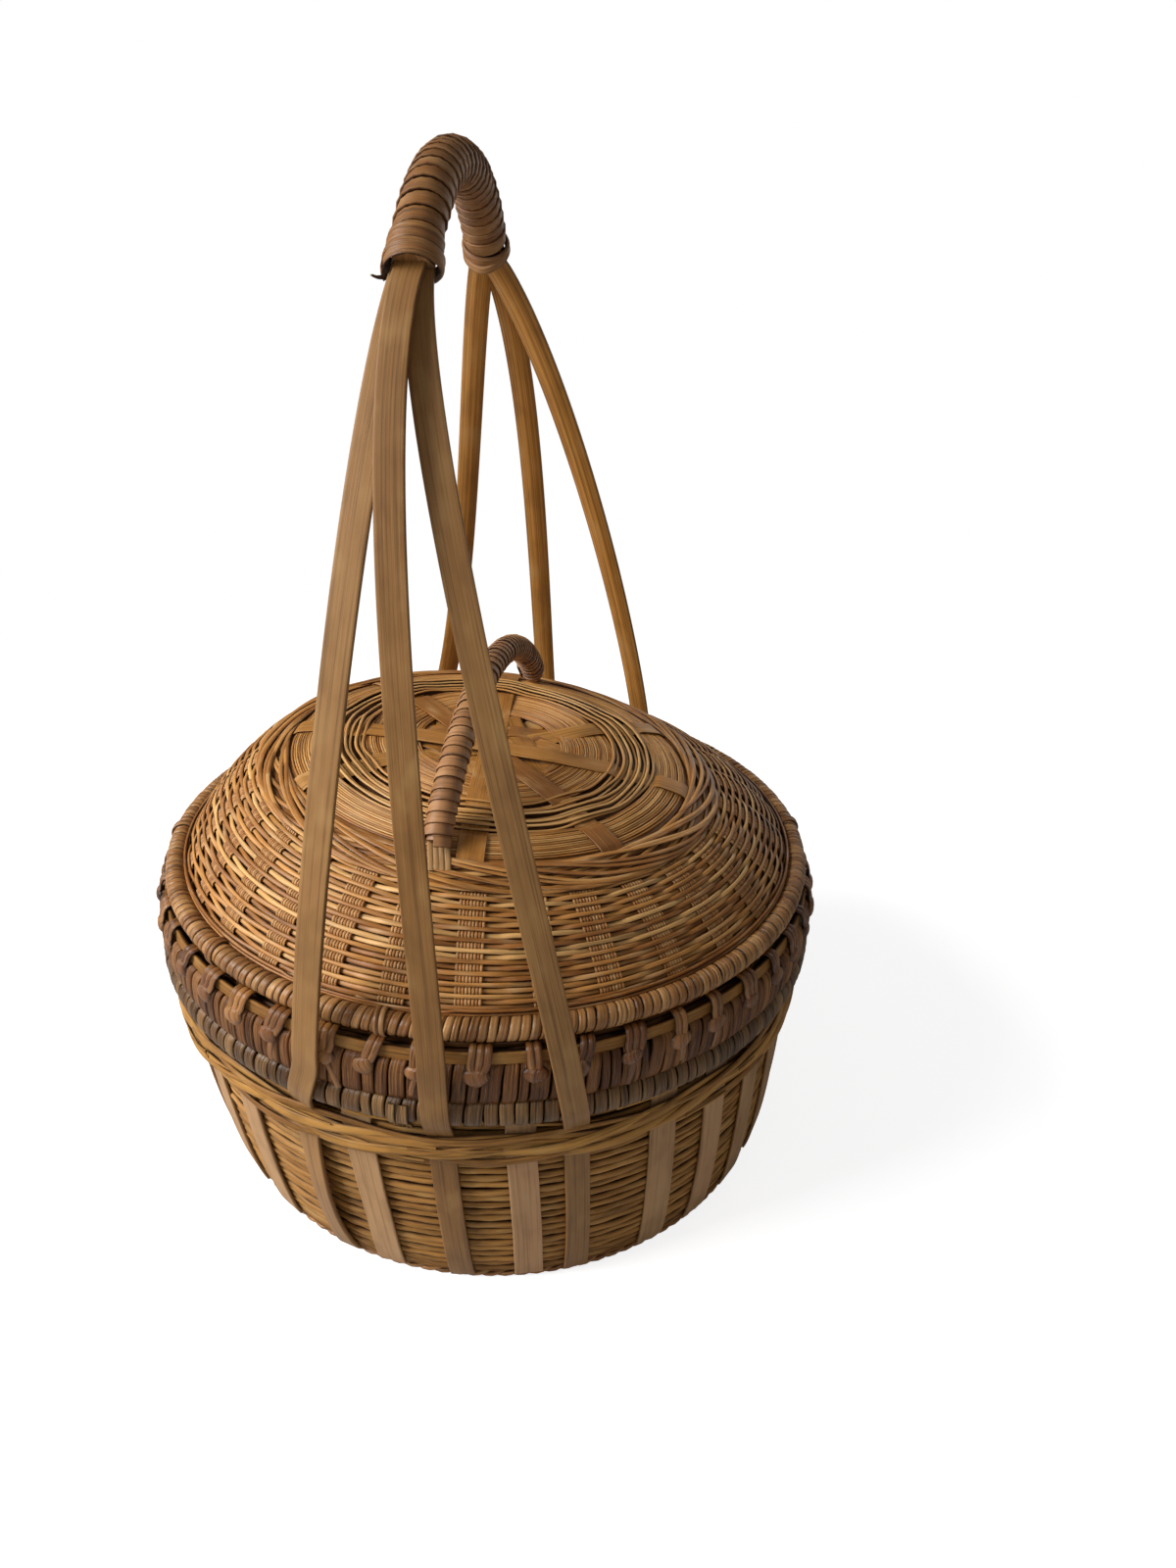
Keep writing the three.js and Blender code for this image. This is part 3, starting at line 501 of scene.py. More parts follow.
def leg(side, foot, rim, low_bow, high_bow, layer, fan, proud=0.4, roll=0.0):
    """Stations from the foot up to the grip's end: x y z, out x y z, twist, thickness."""
    def out_at(deg):
        a = math.radians(deg)
        return np.array([math.sin(a), side * math.cos(a), 0])
    rows = []
    for z in (3.6, 7, 12, 19, 28, 39, 52, 66, 80, 90, 97):
        r = bowl_r(np.array(z)) + 0.3 + LEG_T / 2
        share = min(1.0, max(0.0, (z - 5) / 84))
        r += proud * math.sin(math.pi * share)
        at = out_at(foot) * r + np.array([bowl_x(np.array(z)), 0, z])
        rows.append([*at, *out_at(foot), roll * math.sin(math.pi * share) ** 0.7, LEG_T])
    half = (foot + rim) / 2
    rows.append([*(out_at(half) * 157.5 + np.array([0, 0, 112.2])), *out_at(half), 0, LEG_T])
    end, _, end_out = GRIP_ARC.at(0.0 if side < 0 else 1.0)
    end = end + end_out * layer * LAYER + GRIP_ARC.sideways * fan * FAN
    start = out_at(rim) * 159.3 + np.array([0, 0, 128.8])
    rise = end[2] - start[2]
    away = unit((start - end) * np.array([1, 1, 0]))
    first = start + out_at(rim) * rise * 0.23 * 0.20 + np.array([low_bow, 0, rise * 0.23])
    second = end + away * rise * 0.16 * 0.96 + np.array([high_bow, 0, -rise * 0.16])
    rim_across = np.array([math.cos(math.radians(rim)), -side * math.sin(math.radians(rim)), 0])
    for t in np.linspace(0, 1, 24):
        q = 1 - t
        at = q ** 3 * start + 3 * q * q * t * first + 3 * q * t * t * second + t ** 3 * end
        go = 3 * q * q * (first - start) + 6 * q * t * (second - first) + 3 * t * t * (end - second)
        across = unit(rim_across * (1 - ease(t)) + GRIP_ARC.sideways * ease(t))
        out = unit(np.cross(across, go))
        if np.dot(out, end_out if t > 0.5 else out_at(rim)) < 0:
            out = -out
        rows.append([*at, *out, 0, LEG_T])
    return rows


def handle(name, near, far, layer, fan, near_proud, near_roll, pick):
    rows = leg(-1, *near, layer, fan, near_proud, near_roll)
    at, _, out = GRIP_ARC.at(np.linspace(0, 1, 16)[1:-1])
    at = at + out * layer * LAYER + GRIP_ARC.sideways * fan * FAN
    rows += [[*a, *o, 0, LEG_T] for a, o in zip(at, out)]
    rows += [[*row[:6], -row[6], row[7]] for row in leg(1, *far, layer, fan)[::-1]]
    path = smooth_path(np.array(rows), 6)
    strip = Strands()
    n = len(path)
    strip.lay(path[:, :3], path[:, 3:6], LEG_W + wander(n, 9, 0.12, False), path[:, 7], SLAT,
              twist=path[:, 6], pick=pick)
    strip.piece(name + "_grain", "basket", LEG, "bamboo_strip", name)


handle("handle_strip_left", (-22.3, -18.5, 11.4, 1.1), (-22.5, -22.5, 31, 6.5), 0, -1, 2.4, -0.25, 0.5)
handle("handle_strip_middle", (0.7, 0.4, 2.2, -21.3), (2, 4.2, -10, 8), 1, 0, 0.5, 0.0, 0.2)
handle("handle_strip_right", (21.7, 19.4, -12.5, -25.6), (24.5, 26.1, -14, 0.3), -1, 1, 0.9, 0.16, 0.35)


# ---------------------------------------------------------------- twined band and neck
band = Strands()
angle = np.linspace(0, TURN, 420, endpoint=False)
for k, (z, amp, waves, phase, wide) in enumerate([
        (98.4, 1.2, 9, 0.0, 3.4), (96.6, 2.1, 9, 2.1, 4.4), (94.4, 2.3, 9, 4.2, 4.6), (92.2, 2.3, 9, 0.6, 4.4),
        (90.0, 2.1, 9, 2.7, 4.4), (88.2, 1.3, 9, 4.8, 3.6), (93.4, 3.6, 9, 1.5, 2.4)]):
    turn_ = waves * angle + phase + wander(len(angle), 4, 0.35)
    height = z + amp * np.sin(turn_) + wander(len(angle), 6, 0.45)
    r = 152.15 + 0.95 * np.cos(turn_ + 0.5) + 0.2 * (-1) ** k
    at = polar(angle, r, height)
    lean = -0.22 * np.cos(turn_)
    band.lay(at, polar(angle, 1.0, 0.0), wide + wander(len(angle), 6, 0.3), 1.7, closed=True, twist=lean,
             pick=rng.uniform(0.1, 0.95), shape=ROUND2)
for k in range(30):
    a = rng.random() * TURN + np.linspace(0, rng.uniform(0.1, 0.35), 16)
    z = 92 + rng.normal() * 3.2 + np.linspace(-1, 1, 16) * rng.normal() * 1.6
    band.lay(polar(a, 153.6 + rng.uniform(-0.2, 0.5), z), polar(a, 1.0, 0.0),
             rng.uniform(0.7, 1.6), 0.6, pick=rng.random())
band.piece("band_strands", "basket", BAND, "flat_strand", "band_strand_1", "band_strand_2", "band_strand_3")

neck = Strands()
for k in range(20):
    a = rng.random() * TURN + np.linspace(0, rng.uniform(0.08, 0.42), 14)
    z = 101.2 + rng.uniform(0, 5.2) + np.linspace(0, rng.normal() * 2.4, 14)
    neck.lay(polar(a, 149.6 + rng.uniform(0, 1.0), np.minimum(z, 107)), polar(a, 1.0, 0.15), rng.uniform(0.9, 2.6), 0.5,
             pick=rng.random())
neck.piece("neck_splints", "basket", BAND, "flat_strand")


# ---------------------------------------------------------------- bound hoops
def section(phi, half_r, half_z, power=2.4):
    """A rounded section: offset and outward direction at an angle round it."""
    c, s = np.cos(phi), np.sin(phi)
    e = 2 / power
    x, y = half_r * np.sign(c) * np.abs(c) ** e, half_z * np.sign(s) * np.abs(s) ** e
    nx, ny = np.sign(c) * np.abs(c) ** (2 - e) / half_r, np.sign(s) * np.abs(s) ** (2 - e) / half_z
    size = np.hypot(nx, ny)
    return x, y, nx / size, ny / size


def bind(strands, r0, z0, half_r, half_z, pitch, thick, steps=14, power=2.4, slant=0.0, jitter=0.1, gap=0.0,
         lean=None, shape=SPLIT, bulge=0.0):
    """Canes wound round a hoop, side by side."""
    count = int(TURN * r0 / pitch)
    widths = 1 + rng.normal(size=count) * jitter
    edges = np.concatenate([[0], np.cumsum(widths)]) * TURN / widths.sum()
    phi = np.linspace(-math.pi, math.pi, steps + 1)
    x, y, nx, ny = section(phi, half_r, half_z, power)
    for i in range(count):
        middle, wide = (edges[i] + edges[i + 1]) / 2, (edges[i + 1] - edges[i]) * r0
        tilt = slant + rng.normal() * 0.03
        a = middle + (edges[i + 1] - edges[i]) * (phi / TURN) + tilt * y / r0
        raised = thick / 2 + rng.uniform(0, 0.25)
        r, z = r0 + x + nx * raised, z0 + y + ny * raised
        at = polar(a, r, z)
        if lean:
            at[:, 0] += lean
        swell = 1 + bulge * np.cos(phi / 2) ** 2
        strands.lay(at, polar(a, nx, ny), wide * (1.04 - gap) * swell * np.ones(len(a)), thick, shape,
                    pick=rng.beta(2, 2))


def hoop_core(name, r0, z0, half_r, half_z):
    core = Strands()
    a = np.linspace(0, TURN, 180, endpoint=False)
    # the core is drawn in the near-black shadow material: painted shade between the wraps
    core.lay(polar(a, r0, z0), polar(a, 1.0, 0.0), 2 * half_z, 2 * half_r, ROUND, closed=True)
    return core.piece(name, "basket", SHADOW_CORE, "rim_binding")


lower = Strands()
bind(lower, 152.05, 114.0, 2.9, 4.6, 5.4, 1.9, steps=16, slant=-0.2, jitter=0.22, gap=0.1, shape=WRAP)
lower.piece("lower_hoop_canes", "basket", GREY, "grey_binding", "lower_hoop")
hoop_core("lower_hoop_core", 152.05, 114.0, 2.9, 4.4)

rim = Strands()
bind(rim, 152.05, 128.8, 1.9, 7.7, 5.2, 2.4, steps=20, power=2.4, slant=-0.06, jitter=0.26, gap=0.11,
     shape=WRAP)
rim.piece("rim_hoop_canes", "basket", RIM, "rim_binding", "rim_hoop")
hoop_core("rim_hoop_core", 152.05, 128.8, 1.8, 7.4)

inner = Strands()
bind(inner, 141.95, 140.6, 1.2, 3.9, 6.5, 1.0, steps=12, power=3, jitter=0.12)
inner.piece("inner_hoop_canes", "basket", RIM, "rim_binding", "inner_rim_hoop")

strip = Strands()
angle = np.linspace(0, TURN, 240, endpoint=False)
strip.lay(polar(angle, 152.0 + wander(240, 6, 0.2), 140.9 + wander(240, 8, 0.3)), polar(angle, 1.0, 0.1), 5.2, 1.8,
          SLAT, closed=True, pick=0.2)
strip.piece("rim_strip_bamboo", "basket", BAND, "flat_strand", "rim_strip")

knots = Strands()
count = 47
for i in range(count):
    a0 = math.radians(-83.7) + TURN * (i + rng.uniform(-0.09, 0.09)) / count
    skew = rng.uniform(-1.0, 5.0)
    pick = rng.beta(2, 2)
    size = rng.uniform(0.9, 1.15)

    def go(pairs, width, thick, shape=SPLIT, off=0.0):
        """A cane through (across, radius, height, out radius, out height) rows beside a0."""
        q = smooth_path(np.array(pairs, float), 5)
        a = a0 + (q[:, 0] + off) / 152
        knots.lay(polar(a, q[:, 1], q[:, 2]), polar(a, q[:, 3], q[:, 4]), width, thick, shape, pick=pick)
    loops = 2 if rng.random() < 0.6 else 3
    for k in range(loops):
        off = (k - (loops - 1) / 2) * 3.0
        go([(-skew * .5 - off * .5, 156.1, 133.6, 1, -.1), (-skew * .2 - off * .25, 155.9, 137.0, 1, .2),
            (0, 155.1, 139.8, 1, .3), (skew * .2, 154.6, 142.4, 1, .2), (skew * .4, 153.0, 144.9, .7, .7),
            (skew * .5, 150.2, 145.5, 0, 1), (skew * .6, 147.6, 144.0, -.7, .7)], 3.2, 1.5, ridged(1, 0.1), off)
    t = np.linspace(0, 1, 11)
    lean = skew * 0.3
    across, high = lean * (t - 0.5) * 3, 138.0 - 7.6 * size * t
    across = across - skew * 0.45
    wide = 10.2 * size * np.array([.55, .78, .92, 1.0, 1.0, .98, .9, .77, .6, .38, .16])
    deep = 3.4 * np.array([.4, .75, .95, 1, 1, 1, .95, .85, .7, .5, .25])
    knots.lay(polar(a0 + across / 152, 155.4 + 0.8 * np.sin(math.pi * t), high), polar(a0, 1.0, 0.0), wide, deep,
              BEAD, pick=pick)
    for k in range(int(rng.random() < 0.45)):
        tail = rng.uniform(8, 12)
        way = rng.normal() * 2.0
        go([(way * .1, 156.3, 133.5, 1, 0), (way * .4, 156.4, 130.8, 1, 0), (way * .8, 156.1, 132 - tail * .6, 1, 0),
            (way, 155.5, 132 - tail, 1, 0)], rng.uniform(2.0, 3.4), 1.0)
knots.piece("rim_strip_knots", "basket", KNOT, "rim_binding")

tie = Strands()
for k, off in enumerate((-3.2, 0, 3.1)):
    rows = np.array([(149.7, 100.6), (152.6, 105), (156.6, 109.5), (157.4, 114), (156.6, 118.3)])
    p = smooth_path(rows, 6)
    a = math.radians(-95) + (off + rng.normal() * 0.3 + np.linspace(0, rng.normal() * 0.8, len(p))) / 155
    d = unit(np.gradient(p, axis=0))
    tie.lay(polar(a, p[:, 0], p[:, 1]), polar(a, d[:, 1], -d[:, 0]), 2.9, 1.1, ridged(2, 0.3), pick=rng.random())
tie.piece("hoop_tie_canes", "basket", GREY, "grey_binding", "hoop_tie")

# ---------------------------------------------------------------- foot and base
foot = Strands()
foot_r = float(bowl_r(np.array(3.5)))
angle = np.linspace(0, TURN, 300, endpoint=False)
for k in range(3):
    turn_ = 40 * angle + k * TURN / 3
    at = polar(angle, foot_r - 1.5 + 1.5 * np.cos(turn_), 1.85 + 0.7 * np.sin(turn_))
    at[:, 0] += LEAN
    foot.lay(at, polar(angle, 1.0, 0.0), 2.1, 2.1, ROUND, closed=True, pick=0.3 + 0.2 * k)
foot.piece("foot_strands", "basket", LIDRING, "rim_binding", "foot_hoop")

base = Strands()
base_r = foot_r - 4.6
for i in range(31):
    r = base_r * (i + 0.7) / 31.5
    n = max(24, int(TURN * r / 5))
    a = np.linspace(0, TURN, n, endpoint=False)
    at = polar(a, r, 5.5 + 0.8 * (-1) ** i * np.cos(12 * a))
    at[:, 0] += LEAN
    base.lay(at, polar(a, 0.0, -1.0), 4.1, 1.3, closed=True)
    a = np.linspace(0, TURN, 48, endpoint=False)
    at = polar(a, r + 2, 6.9)
    at[:, 0] += LEAN
    base.lay(at, polar(a, 0.0, -1.0), 4.6, 0.5, closed=True)
for k in range(12):
    a = math.pi * k / 12
    u = np.linspace(-base_r, base_r, 60)
    at = np.stack([u * math.cos(a) + LEAN, u * math.sin(a), np.full(60, 5.5 + 0.02 * k)], -1)
    base.lay(at, np.tile([0.0, 0, -1], (60, 1)), 9, 0.8)
base.piece("base_rows", "basket", BOWL, "bowl_weave", "base_mat")

# ---------------------------------------------------------------- lid weave
DOME_R, DOME_Z, DOME_RISE, TOP_LEAN = 141.7, 154.9, 43.5, math.tan(math.radians(4.5))


def dome_z(r):
    return DOME_Z + DOME_RISE * (1 - (np.clip(r, 0, None) / DOME_R) ** 4.7)


r_line = np.concatenate([np.full(80, DOME_R), DOME_R * np.cos(np.linspace(0, math.pi / 2, 900))[1:]])
z_line = np.concatenate([np.linspace(146.2, DOME_Z, 81)[:-1], dome_z(r_line[80:])])
dome = Profile(r_line, z_line)
EDGE_S = DOME_Z - 146.2


def dome_s(r):
    return np.interp(-np.asarray(r, float), -dome.r[80:], dome.s[80:])


def on_lid(angle, s, lift):
    """Points on the dome, whose top leans down to +X, with the outward direction."""
    at, out = surface(dome, angle, s, lift)
    fade = TOP_LEAN * np.clip((DOME_R - np.hypot(at[..., 0], at[..., 1])) / (DOME_R - 107), 0, 1)
    at[..., 2] -= fade * at[..., 0]
    out[..., 0] += fade
    return at, unit(out)


LID_STAKES = 30
STAKE_0 = math.radians(-85.2)
lid = Strands()
angle = np.linspace(0, TURN, 420, endpoint=False)
beat = np.cos(LID_STAKES / 2 * (angle - STAKE_0))
SLOPE_PITCH = 2.2
for i in range(-4, 22):
    s = EDGE_S + SLOPE_PITCH * (i + 0.5) + wander(len(angle), 9, 0.12)
    wave = (-1) ** i * np.tanh(1.9 * beat)
    lift = -1.05 + 0.95 * wave + wander(len(angle), 6, 0.1)
    at, out = on_lid(angle, s, lift)
    width = 2.12 - 0.45 * np.abs(beat) ** 3 + wander(len(angle), 13, 0.14)
    lid.lay(at, out, width, 0.95, closed=True, pick=rng.beta(1.3, 1.3))
lid.piece("lid_slope_rows", "lid", LID, "lid_weave", "lid_dome")

# rows under the lid weave in the dark rim material: painted shade seen through the gaps in the weave
within = Strands()
angle = np.linspace(0, TURN, 120, endpoint=False)
for i in range(14):
    at, out = on_lid(angle, 2.2 + 4.2 * i, -3.0)
    within.lay(at, out, 4.6, 0.5, closed=True, pick=0.1)
for i in range(9, 24):
    at, out = on_lid(angle, dome_s(4.0 + 3.9 * i), -3.7)
    within.lay(at, out, 4.4, 0.5, closed=True, pick=0.2)
within.piece("lid_inner_rows", "lid", RIM, "lid_weave")

bricks = Strands(), Strands()
for j in range(LID_STAKES):
    a = STAKE_0 + TURN * j / LID_STAKES + rng.normal() * 0.004
    s = np.linspace(1.5, float(dome_s(94)), 90)
    for k in range(8):
        off = (k - 3.5) * 1.36
        r = dome.at(s)[0]
        wave = -0.55 * np.cos(math.pi * ((s - EDGE_S) / SLOPE_PITCH - 0.5) + math.pi * j)
        wave = np.where(s < dome_s(107), wave, -0.9)
        at, out = on_lid(a + off / r, s, -1.0 + wave + rng.normal() * 0.05)
        bricks[j % 2].lay(at, out, 1.3, 0.8, pick=rng.random())
bricks[0].piece("lid_stakes_even", "lid", STAKE, "lid_weave")
bricks[1].piece("lid_stakes_odd", "lid", STAKE, "lid_weave")

# the top: shoulder strands, two packed bands, loose strands between them, and the star of broad strips
TOP_X, TOP_Y = -1.0, 2.0
ARMS = [34, -146, -3, 177, -46, 134, -87, 93]


def arm_beat(a, power=3):
    """One on the star's arms, minus one between them."""
    close = np.min([np.abs((np.degrees(a) - arm + 180) % 360 - 180) for arm in ARMS], axis=0)
    return 2 * np.exp(-(close / 9.0) ** power) - 1


def top_ring(strands, r, width, thick, lift, ripple=0.0, waves=3, drift=0.3, pick=None, n=300, beat_=None):
    """A strand round the top, centred on the star near the middle."""
    a = np.linspace(0, TURN, n, endpoint=False)
    rr = r + wander(n, waves, drift)
    share = ease((104 - r) / 30)
    at = np.stack([rr * np.cos(a) + TOP_X * share, rr * np.sin(a) + TOP_Y * share], -1)
    dist, turn_ = np.hypot(*at.T), np.arctan2(at[:, 1], at[:, 0])
    beat_ = arm_beat(a) if beat_ is None else beat_(a)
    pos, out = on_lid(turn_, dome_s(dist), lift + ripple * beat_)
    strands.lay(pos, out, width, thick, closed=True, pick=rng.beta(2, 2) if pick is None else pick)


top = Strands()
for i in range(9):
    top_ring(top, 3.0 + 3.9 * i, 4.4, 0.5, -3.0, 0.0, drift=0.1, n=90, pick=0.3)
for i in range(24):
    top_ring(top, 33.5 + 1.04 * i, 1.0, 0.8, -0.7 + 0.1 * (i % 2), -0.35,
             drift=0.14, n=200, pick=0.1 + 0.85 * rng.random())
for i in range(13):
    top_ring(top, 78.3 + 1.08 * i, 1.04, 0.8, -0.6 + 0.1 * (i % 2), -0.3, drift=0.14, pick=0.15 + 0.8 * rng.random())
top.piece("lid_top_bands", "lid", LID, "lid_weave")
top = Strands()
for i in range(10):
    r = 58.6 + 2.05 * i
    top_ring(top, r, 1.5, 1.15, 0.25 + 0.55 * (-1) ** i, 0.55,
             drift=0.75, waves=14, pick=0.7 + 0.3 * rng.random(), n=420)
for i in range(4):
    top_ring(top, 91.5 + 4.2 * i, 4.8, 0.7, -1.4, 0.0, drift=0.8, waves=6, pick=0.2)
top.piece("lid_top_strands", "lid", LID, "lid_weave")

shoulder = Strands()
for i in range(14):
    n = 360
    a = np.linspace(0, TURN, n, endpoint=False)
    slow = 3 * a + i * TURN / 14 + wander(n, 4, 0.25)
    r = 100.2 + 6.0 * np.sin(slow) + wander(n, 7, 0.5)
    lift = 0.35 + 0.75 * np.cos(slow) + 0.25 * np.sin(15 * a + i)
    at, out = on_lid(a, dome_s(r), lift)
    shoulder.lay(at, out, 2.05 + wander(n, 5, 0.2), 0.95, closed=True, pick=rng.beta(2, 2), twist=-0.25 * np.cos(slow))
a = np.linspace(0, TURN, 240, endpoint=False)
for k in range(3):
    at, out = on_lid(a, 6.0 + 1.4 * k + wander(240, 8, 0.1), 0.9 + 0.1 * k)
    shoulder.lay(at, out, 1.4, 1.3, closed=True, pick=0.1 + 0.3 * rng.random())
shoulder.piece("lid_shoulder_strands", "lid", LID, "lid_weave")

STAR = ((34, 0), (-87, 0), (-46, -4), (-3, -5))
for k, (deg, d) in enumerate(STAR):
    a = math.radians(deg)
    u = np.linspace(-95, 95, 190)
    x, y = u * math.cos(a) - d * math.sin(a), u * math.sin(a) + d * math.cos(a)
    away = np.abs(u)
    hub = 1 - ease((away - 28) / 28)
    under = 1.5 * ease((away - 57) / 4) * (1 - ease((away - 76) / 4)) + 1.2 * ease((away - 90) / 4)
    lift = 0.55 + (k - 2) * 0.9 * hub - under
    at, out = on_lid(np.arctan2(y, x), dome_s(np.hypot(x, y)), lift)
    star = Strands()
    star.lay(at, out, 11.5 + wander(190, 3, 0.3, False), 0.7, SLAT, pick=rng.random())
    star.piece("lid_star_strip_%d_grain" % (k + 1), "lid", BROAD, "lid_weave", "lid_star_strip_%d" % (k + 1))

crown = Strands()
for k, (deg, off, level) in enumerate([
        (62, 13, -2.3), (62, -14, -2.3), (14, 15, -1.9), (14, -19, -1.9), (-25, 16, -1.6),
                                       (-25, -17, -2.0), (-68, 15, -1.6), (-68, -16, -2.1), (62, 0, -3.1),
                                       (-25, 0, -3.2)]):
    a = math.radians(deg)
    u = np.linspace(-44, 44, 90)
    x, y = u * math.cos(a) - off * math.sin(a), u * math.sin(a) + off * math.cos(a)
    r = np.hypot(x, y)
    lift = level + 1.3 * np.cos(u / 44 * 4.5 * math.pi / 3 + k) ** 2 * ease((44 - np.abs(u)) / 20)
    lift = lift * (1 - ease((r - 30) / 12)) - 1.4 * ease((r - 30) / 12)
    at, out = on_lid(np.arctan2(y, x), dome_s(r), lift)
    crown.lay(at, out, 10.8 + wander(90, 3, 0.3, False), 0.7, SLAT, pick=rng.random())
crown.piece("lid_crown_strips", "lid", BROAD, "lid_weave")

# ---------------------------------------------------------------- lid ring and its ties
ring = Strands()
bind(ring, 147.0, 150.4, 3.5, 3.5, 3.7, 1.2, steps=14, power=2.0, slant=0.1, jitter=0.12, gap=0.06,
     shape=ridged(2, 0.2))
ring.piece("lid_ring_canes", "lid", LIDRING, "lid_ring_binding", "lid_ring")
core = Strands()
angle = np.linspace(0, TURN, 180, endpoint=False)
# the ring's core is drawn in the near-black shadow material: painted shade between the wraps
core.lay(polar(angle, 147.0, 150.4), polar(angle, 1.0, 0.0), 6.9, 6.9, ROUND, closed=True)
core.piece("lid_ring_core", "lid", SHADOW_CORE, "lid_ring_binding")

ties = Strands()
for deg in (-172, -131, -98, 10, 148):
    for off in (-1.1, 1.2):
        a = math.radians(deg) + (off + np.linspace(-0.6, 0.6, 22)) / 147
        phi = np.radians(np.linspace(150, -50, 22))
        reach = 5.2 + rng.uniform(0, 0.2)
        ties.lay(polar(a, 147 + reach * np.cos(phi), 150.4 + reach * np.sin(phi)), polar(a, np.cos(phi), np.sin(phi)),
                 2.4, 1.1, pick=0.15)
ties.piece("lid_tie_canes", "lid", LIDRING, "lid_ring_binding", *["lid_tie_%d" % i for i in range(1, 6)])


# ---------------------------------------------------------------- wound grip and arch
def wind(strands, arc_, radius, width, thick, loops, first, last, steps=16, shingle=0.12, jitter=0.02, pick=None,
         loose=0.0, shape=SPLIT):
    """A broad cane wound along an arc, each turn lying a little on the last."""
    n = loops * steps
    share = np.linspace(first, last, n + 1) + loose * wander(n + 1, 24, 1.0, False) / loops
    phi = np.arange(n + 1) * TURN / steps
    at, along, out = arc_.at(share)
    c, s = np.cos(phi)[:, None], np.sin(phi)[:, None]
    away = out * c + arc_.sideways * s
    wob = wander(n + 1, 24, 0.1, False)
    at = at + away * (radius + thick / 2 + wob)[:, None]
    go = unit(np.gradient(at, axis=0))
    side = unit(np.cross(away, go))
    lean = np.sign(np.mean(np.sum(side * along, axis=1))) * shingle
    strands.lay(at, away, width * (1 + wander(n + 1, 20, jitter, False)), thick, shape, twist=lean, pick=pick)


ARCH_BEND = (88 ** 2 + 40 ** 2) / 80
ARCH_ANGLE = math.degrees(math.asin(88 / ARCH_BEND))


def arch_seat(side):
    corner = turned(6)[0] * side * (88 - 4.6 * math.sin(math.radians(ARCH_ANGLE)))
    return float(dome_z(np.hypot(*corner[:2]))) - TOP_LEAN * corner[0] + 0.3 + 4.6 * math.cos(math.radians(ARCH_ANGLE))


ARCH_DROP = math.degrees((arch_seat(-1) - arch_seat(1)) / (ARCH_BEND * math.sin(math.radians(ARCH_ANGLE))))
ARCH_ARC = Arc((0, 0, arch_seat(-1) + 40), ARCH_BEND, 6, ARCH_ANGLE, ARCH_ANGLE + ARCH_DROP)


def rod(name, arc_, radius, body, material, slot, first, last, *nodes):
    at, _, out = arc_.at(np.linspace(first, last, 60))
    tube = Strands()
    tube.lay(at, out, 2 * radius, 2 * radius, ROUND)
    return tube.piece(name, body, material, slot, *nodes)


length = GRIP_ARC.length()
grip = Strands()
wind(grip, GRIP_ARC, 8.1, 6.2, 1.1, 22, 6 / length, 1 - 5 / length, pick=0.45, shingle=-0.14, loose=0.14, shape=SLAT)
grip.piece("grip_cane_winding", "basket", GRIP, "grip_cane", "grip_winding")
rod("grip_core", GRIP_ARC, 7.9, "basket", GRIP, "grip_cane", -0.01, 0.99)

collars = Strands()


def collar(rows, width, thick, pick, shape=ridged(2, 0.15)):
    """A cane round the grip through (turns, distance from the end, radius, end) rows."""
    q = smooth_path(np.array(rows, float), 6)
    end = rows[0][3]
    share = q[:, 1] / length
    at, along, out = GRIP_ARC.at(share if end == 0 else 1 - share)
    phi = q[:, 0] * TURN
    away = out * np.cos(phi)[:, None] + GRIP_ARC.sideways * np.sin(phi)[:, None]
    collars.lay(at + away * q[:, 2:3], away, width, thick, shape, pick=pick)


collar([(-.30, -3.0, 10.9, 0), (-.22, -1.6, 10.3, 0), (-.1, 0.2, 9.7, 0), (.05, 1.0, 9.5, 0), (.2, 0.8, 9.8, 0),
        (.35, 0.6, 10.3, 0), (.5, 0.4, 10.2, 0), (.65, 0.4, 9.9, 0), (.78, -0.8, 10.0, 0), (.84, -2.6, 10.3, 0)],
       6.6, 1.5, 0.5)
collar([(-.25, 4.6, 9.6, 0), (-.12, 4.8, 9.4, 0), (.0, 5.2, 9.3, 0), (.12, 5.4, 9.4, 0), (.25, 5.6, 9.6, 0)],
       [5.6 + 0.03 * k for k in range(25)], 1.4, 0.35)
collar([(.55, 7.6, 9.2, 0), (.7, 6.6, 9.4, 0), (.85, 6.8, 9.3, 0), (1.0, 7.2, 9.3, 0), (1.15, 7.6, 9.2, 0),
        (1.3, 7.4, 9.2, 0), (1.5, 7.6, 9.1, 0)], 4.4, 1.3, 0.6)
collar([(.60, -2.2, 10.6, 0), (.68, -3.8, 10.4, 0), (.74, -5.6, 10.6, 0), (.77, -6.6, 12.0, 0), (.79, -6.8, 13.6, 0)],
       [2.6 - 0.08 * k for k in range(25)], 1.0, 0.1)
collar([(k / 8, 3.0 + 1.6 * math.sin(TURN * k / 8 + 2.2), 9.3 + 0.03 * k, 1) for k in range(9)], 5.4, 1.9, 0.5)
collar([(.30, 1.0, 9.2, 1), (.42, -0.6, 9.8, 1), (.5, -1.6, 10.3, 1), (.58, -0.8, 9.9, 1), (.7, 1.2, 9.4, 1)],
       4.0, 2.2, 0.4)
collars.piece("grip_collar_canes", "basket", GRIP, "grip_cane", "grip_collar_near", "grip_collar_far")

length = ARCH_ARC.length()
arch = Strands()
wind(arch, ARCH_ARC, 4.85, 5.6, 1.1, 42, -2.5 / length, 1 - 1.5 / length, pick=0.5, shingle=-0.2, jitter=0.05,
     loose=0.12, shape=SLAT)
arch.piece("arch_cane_winding", "lid", ARCH, "grip_cane", "arch_winding")
rod("arch_rod", ARCH_ARC, 4.6, "lid", ARCH, "grip_cane", -0.01, 1, "arch_core")

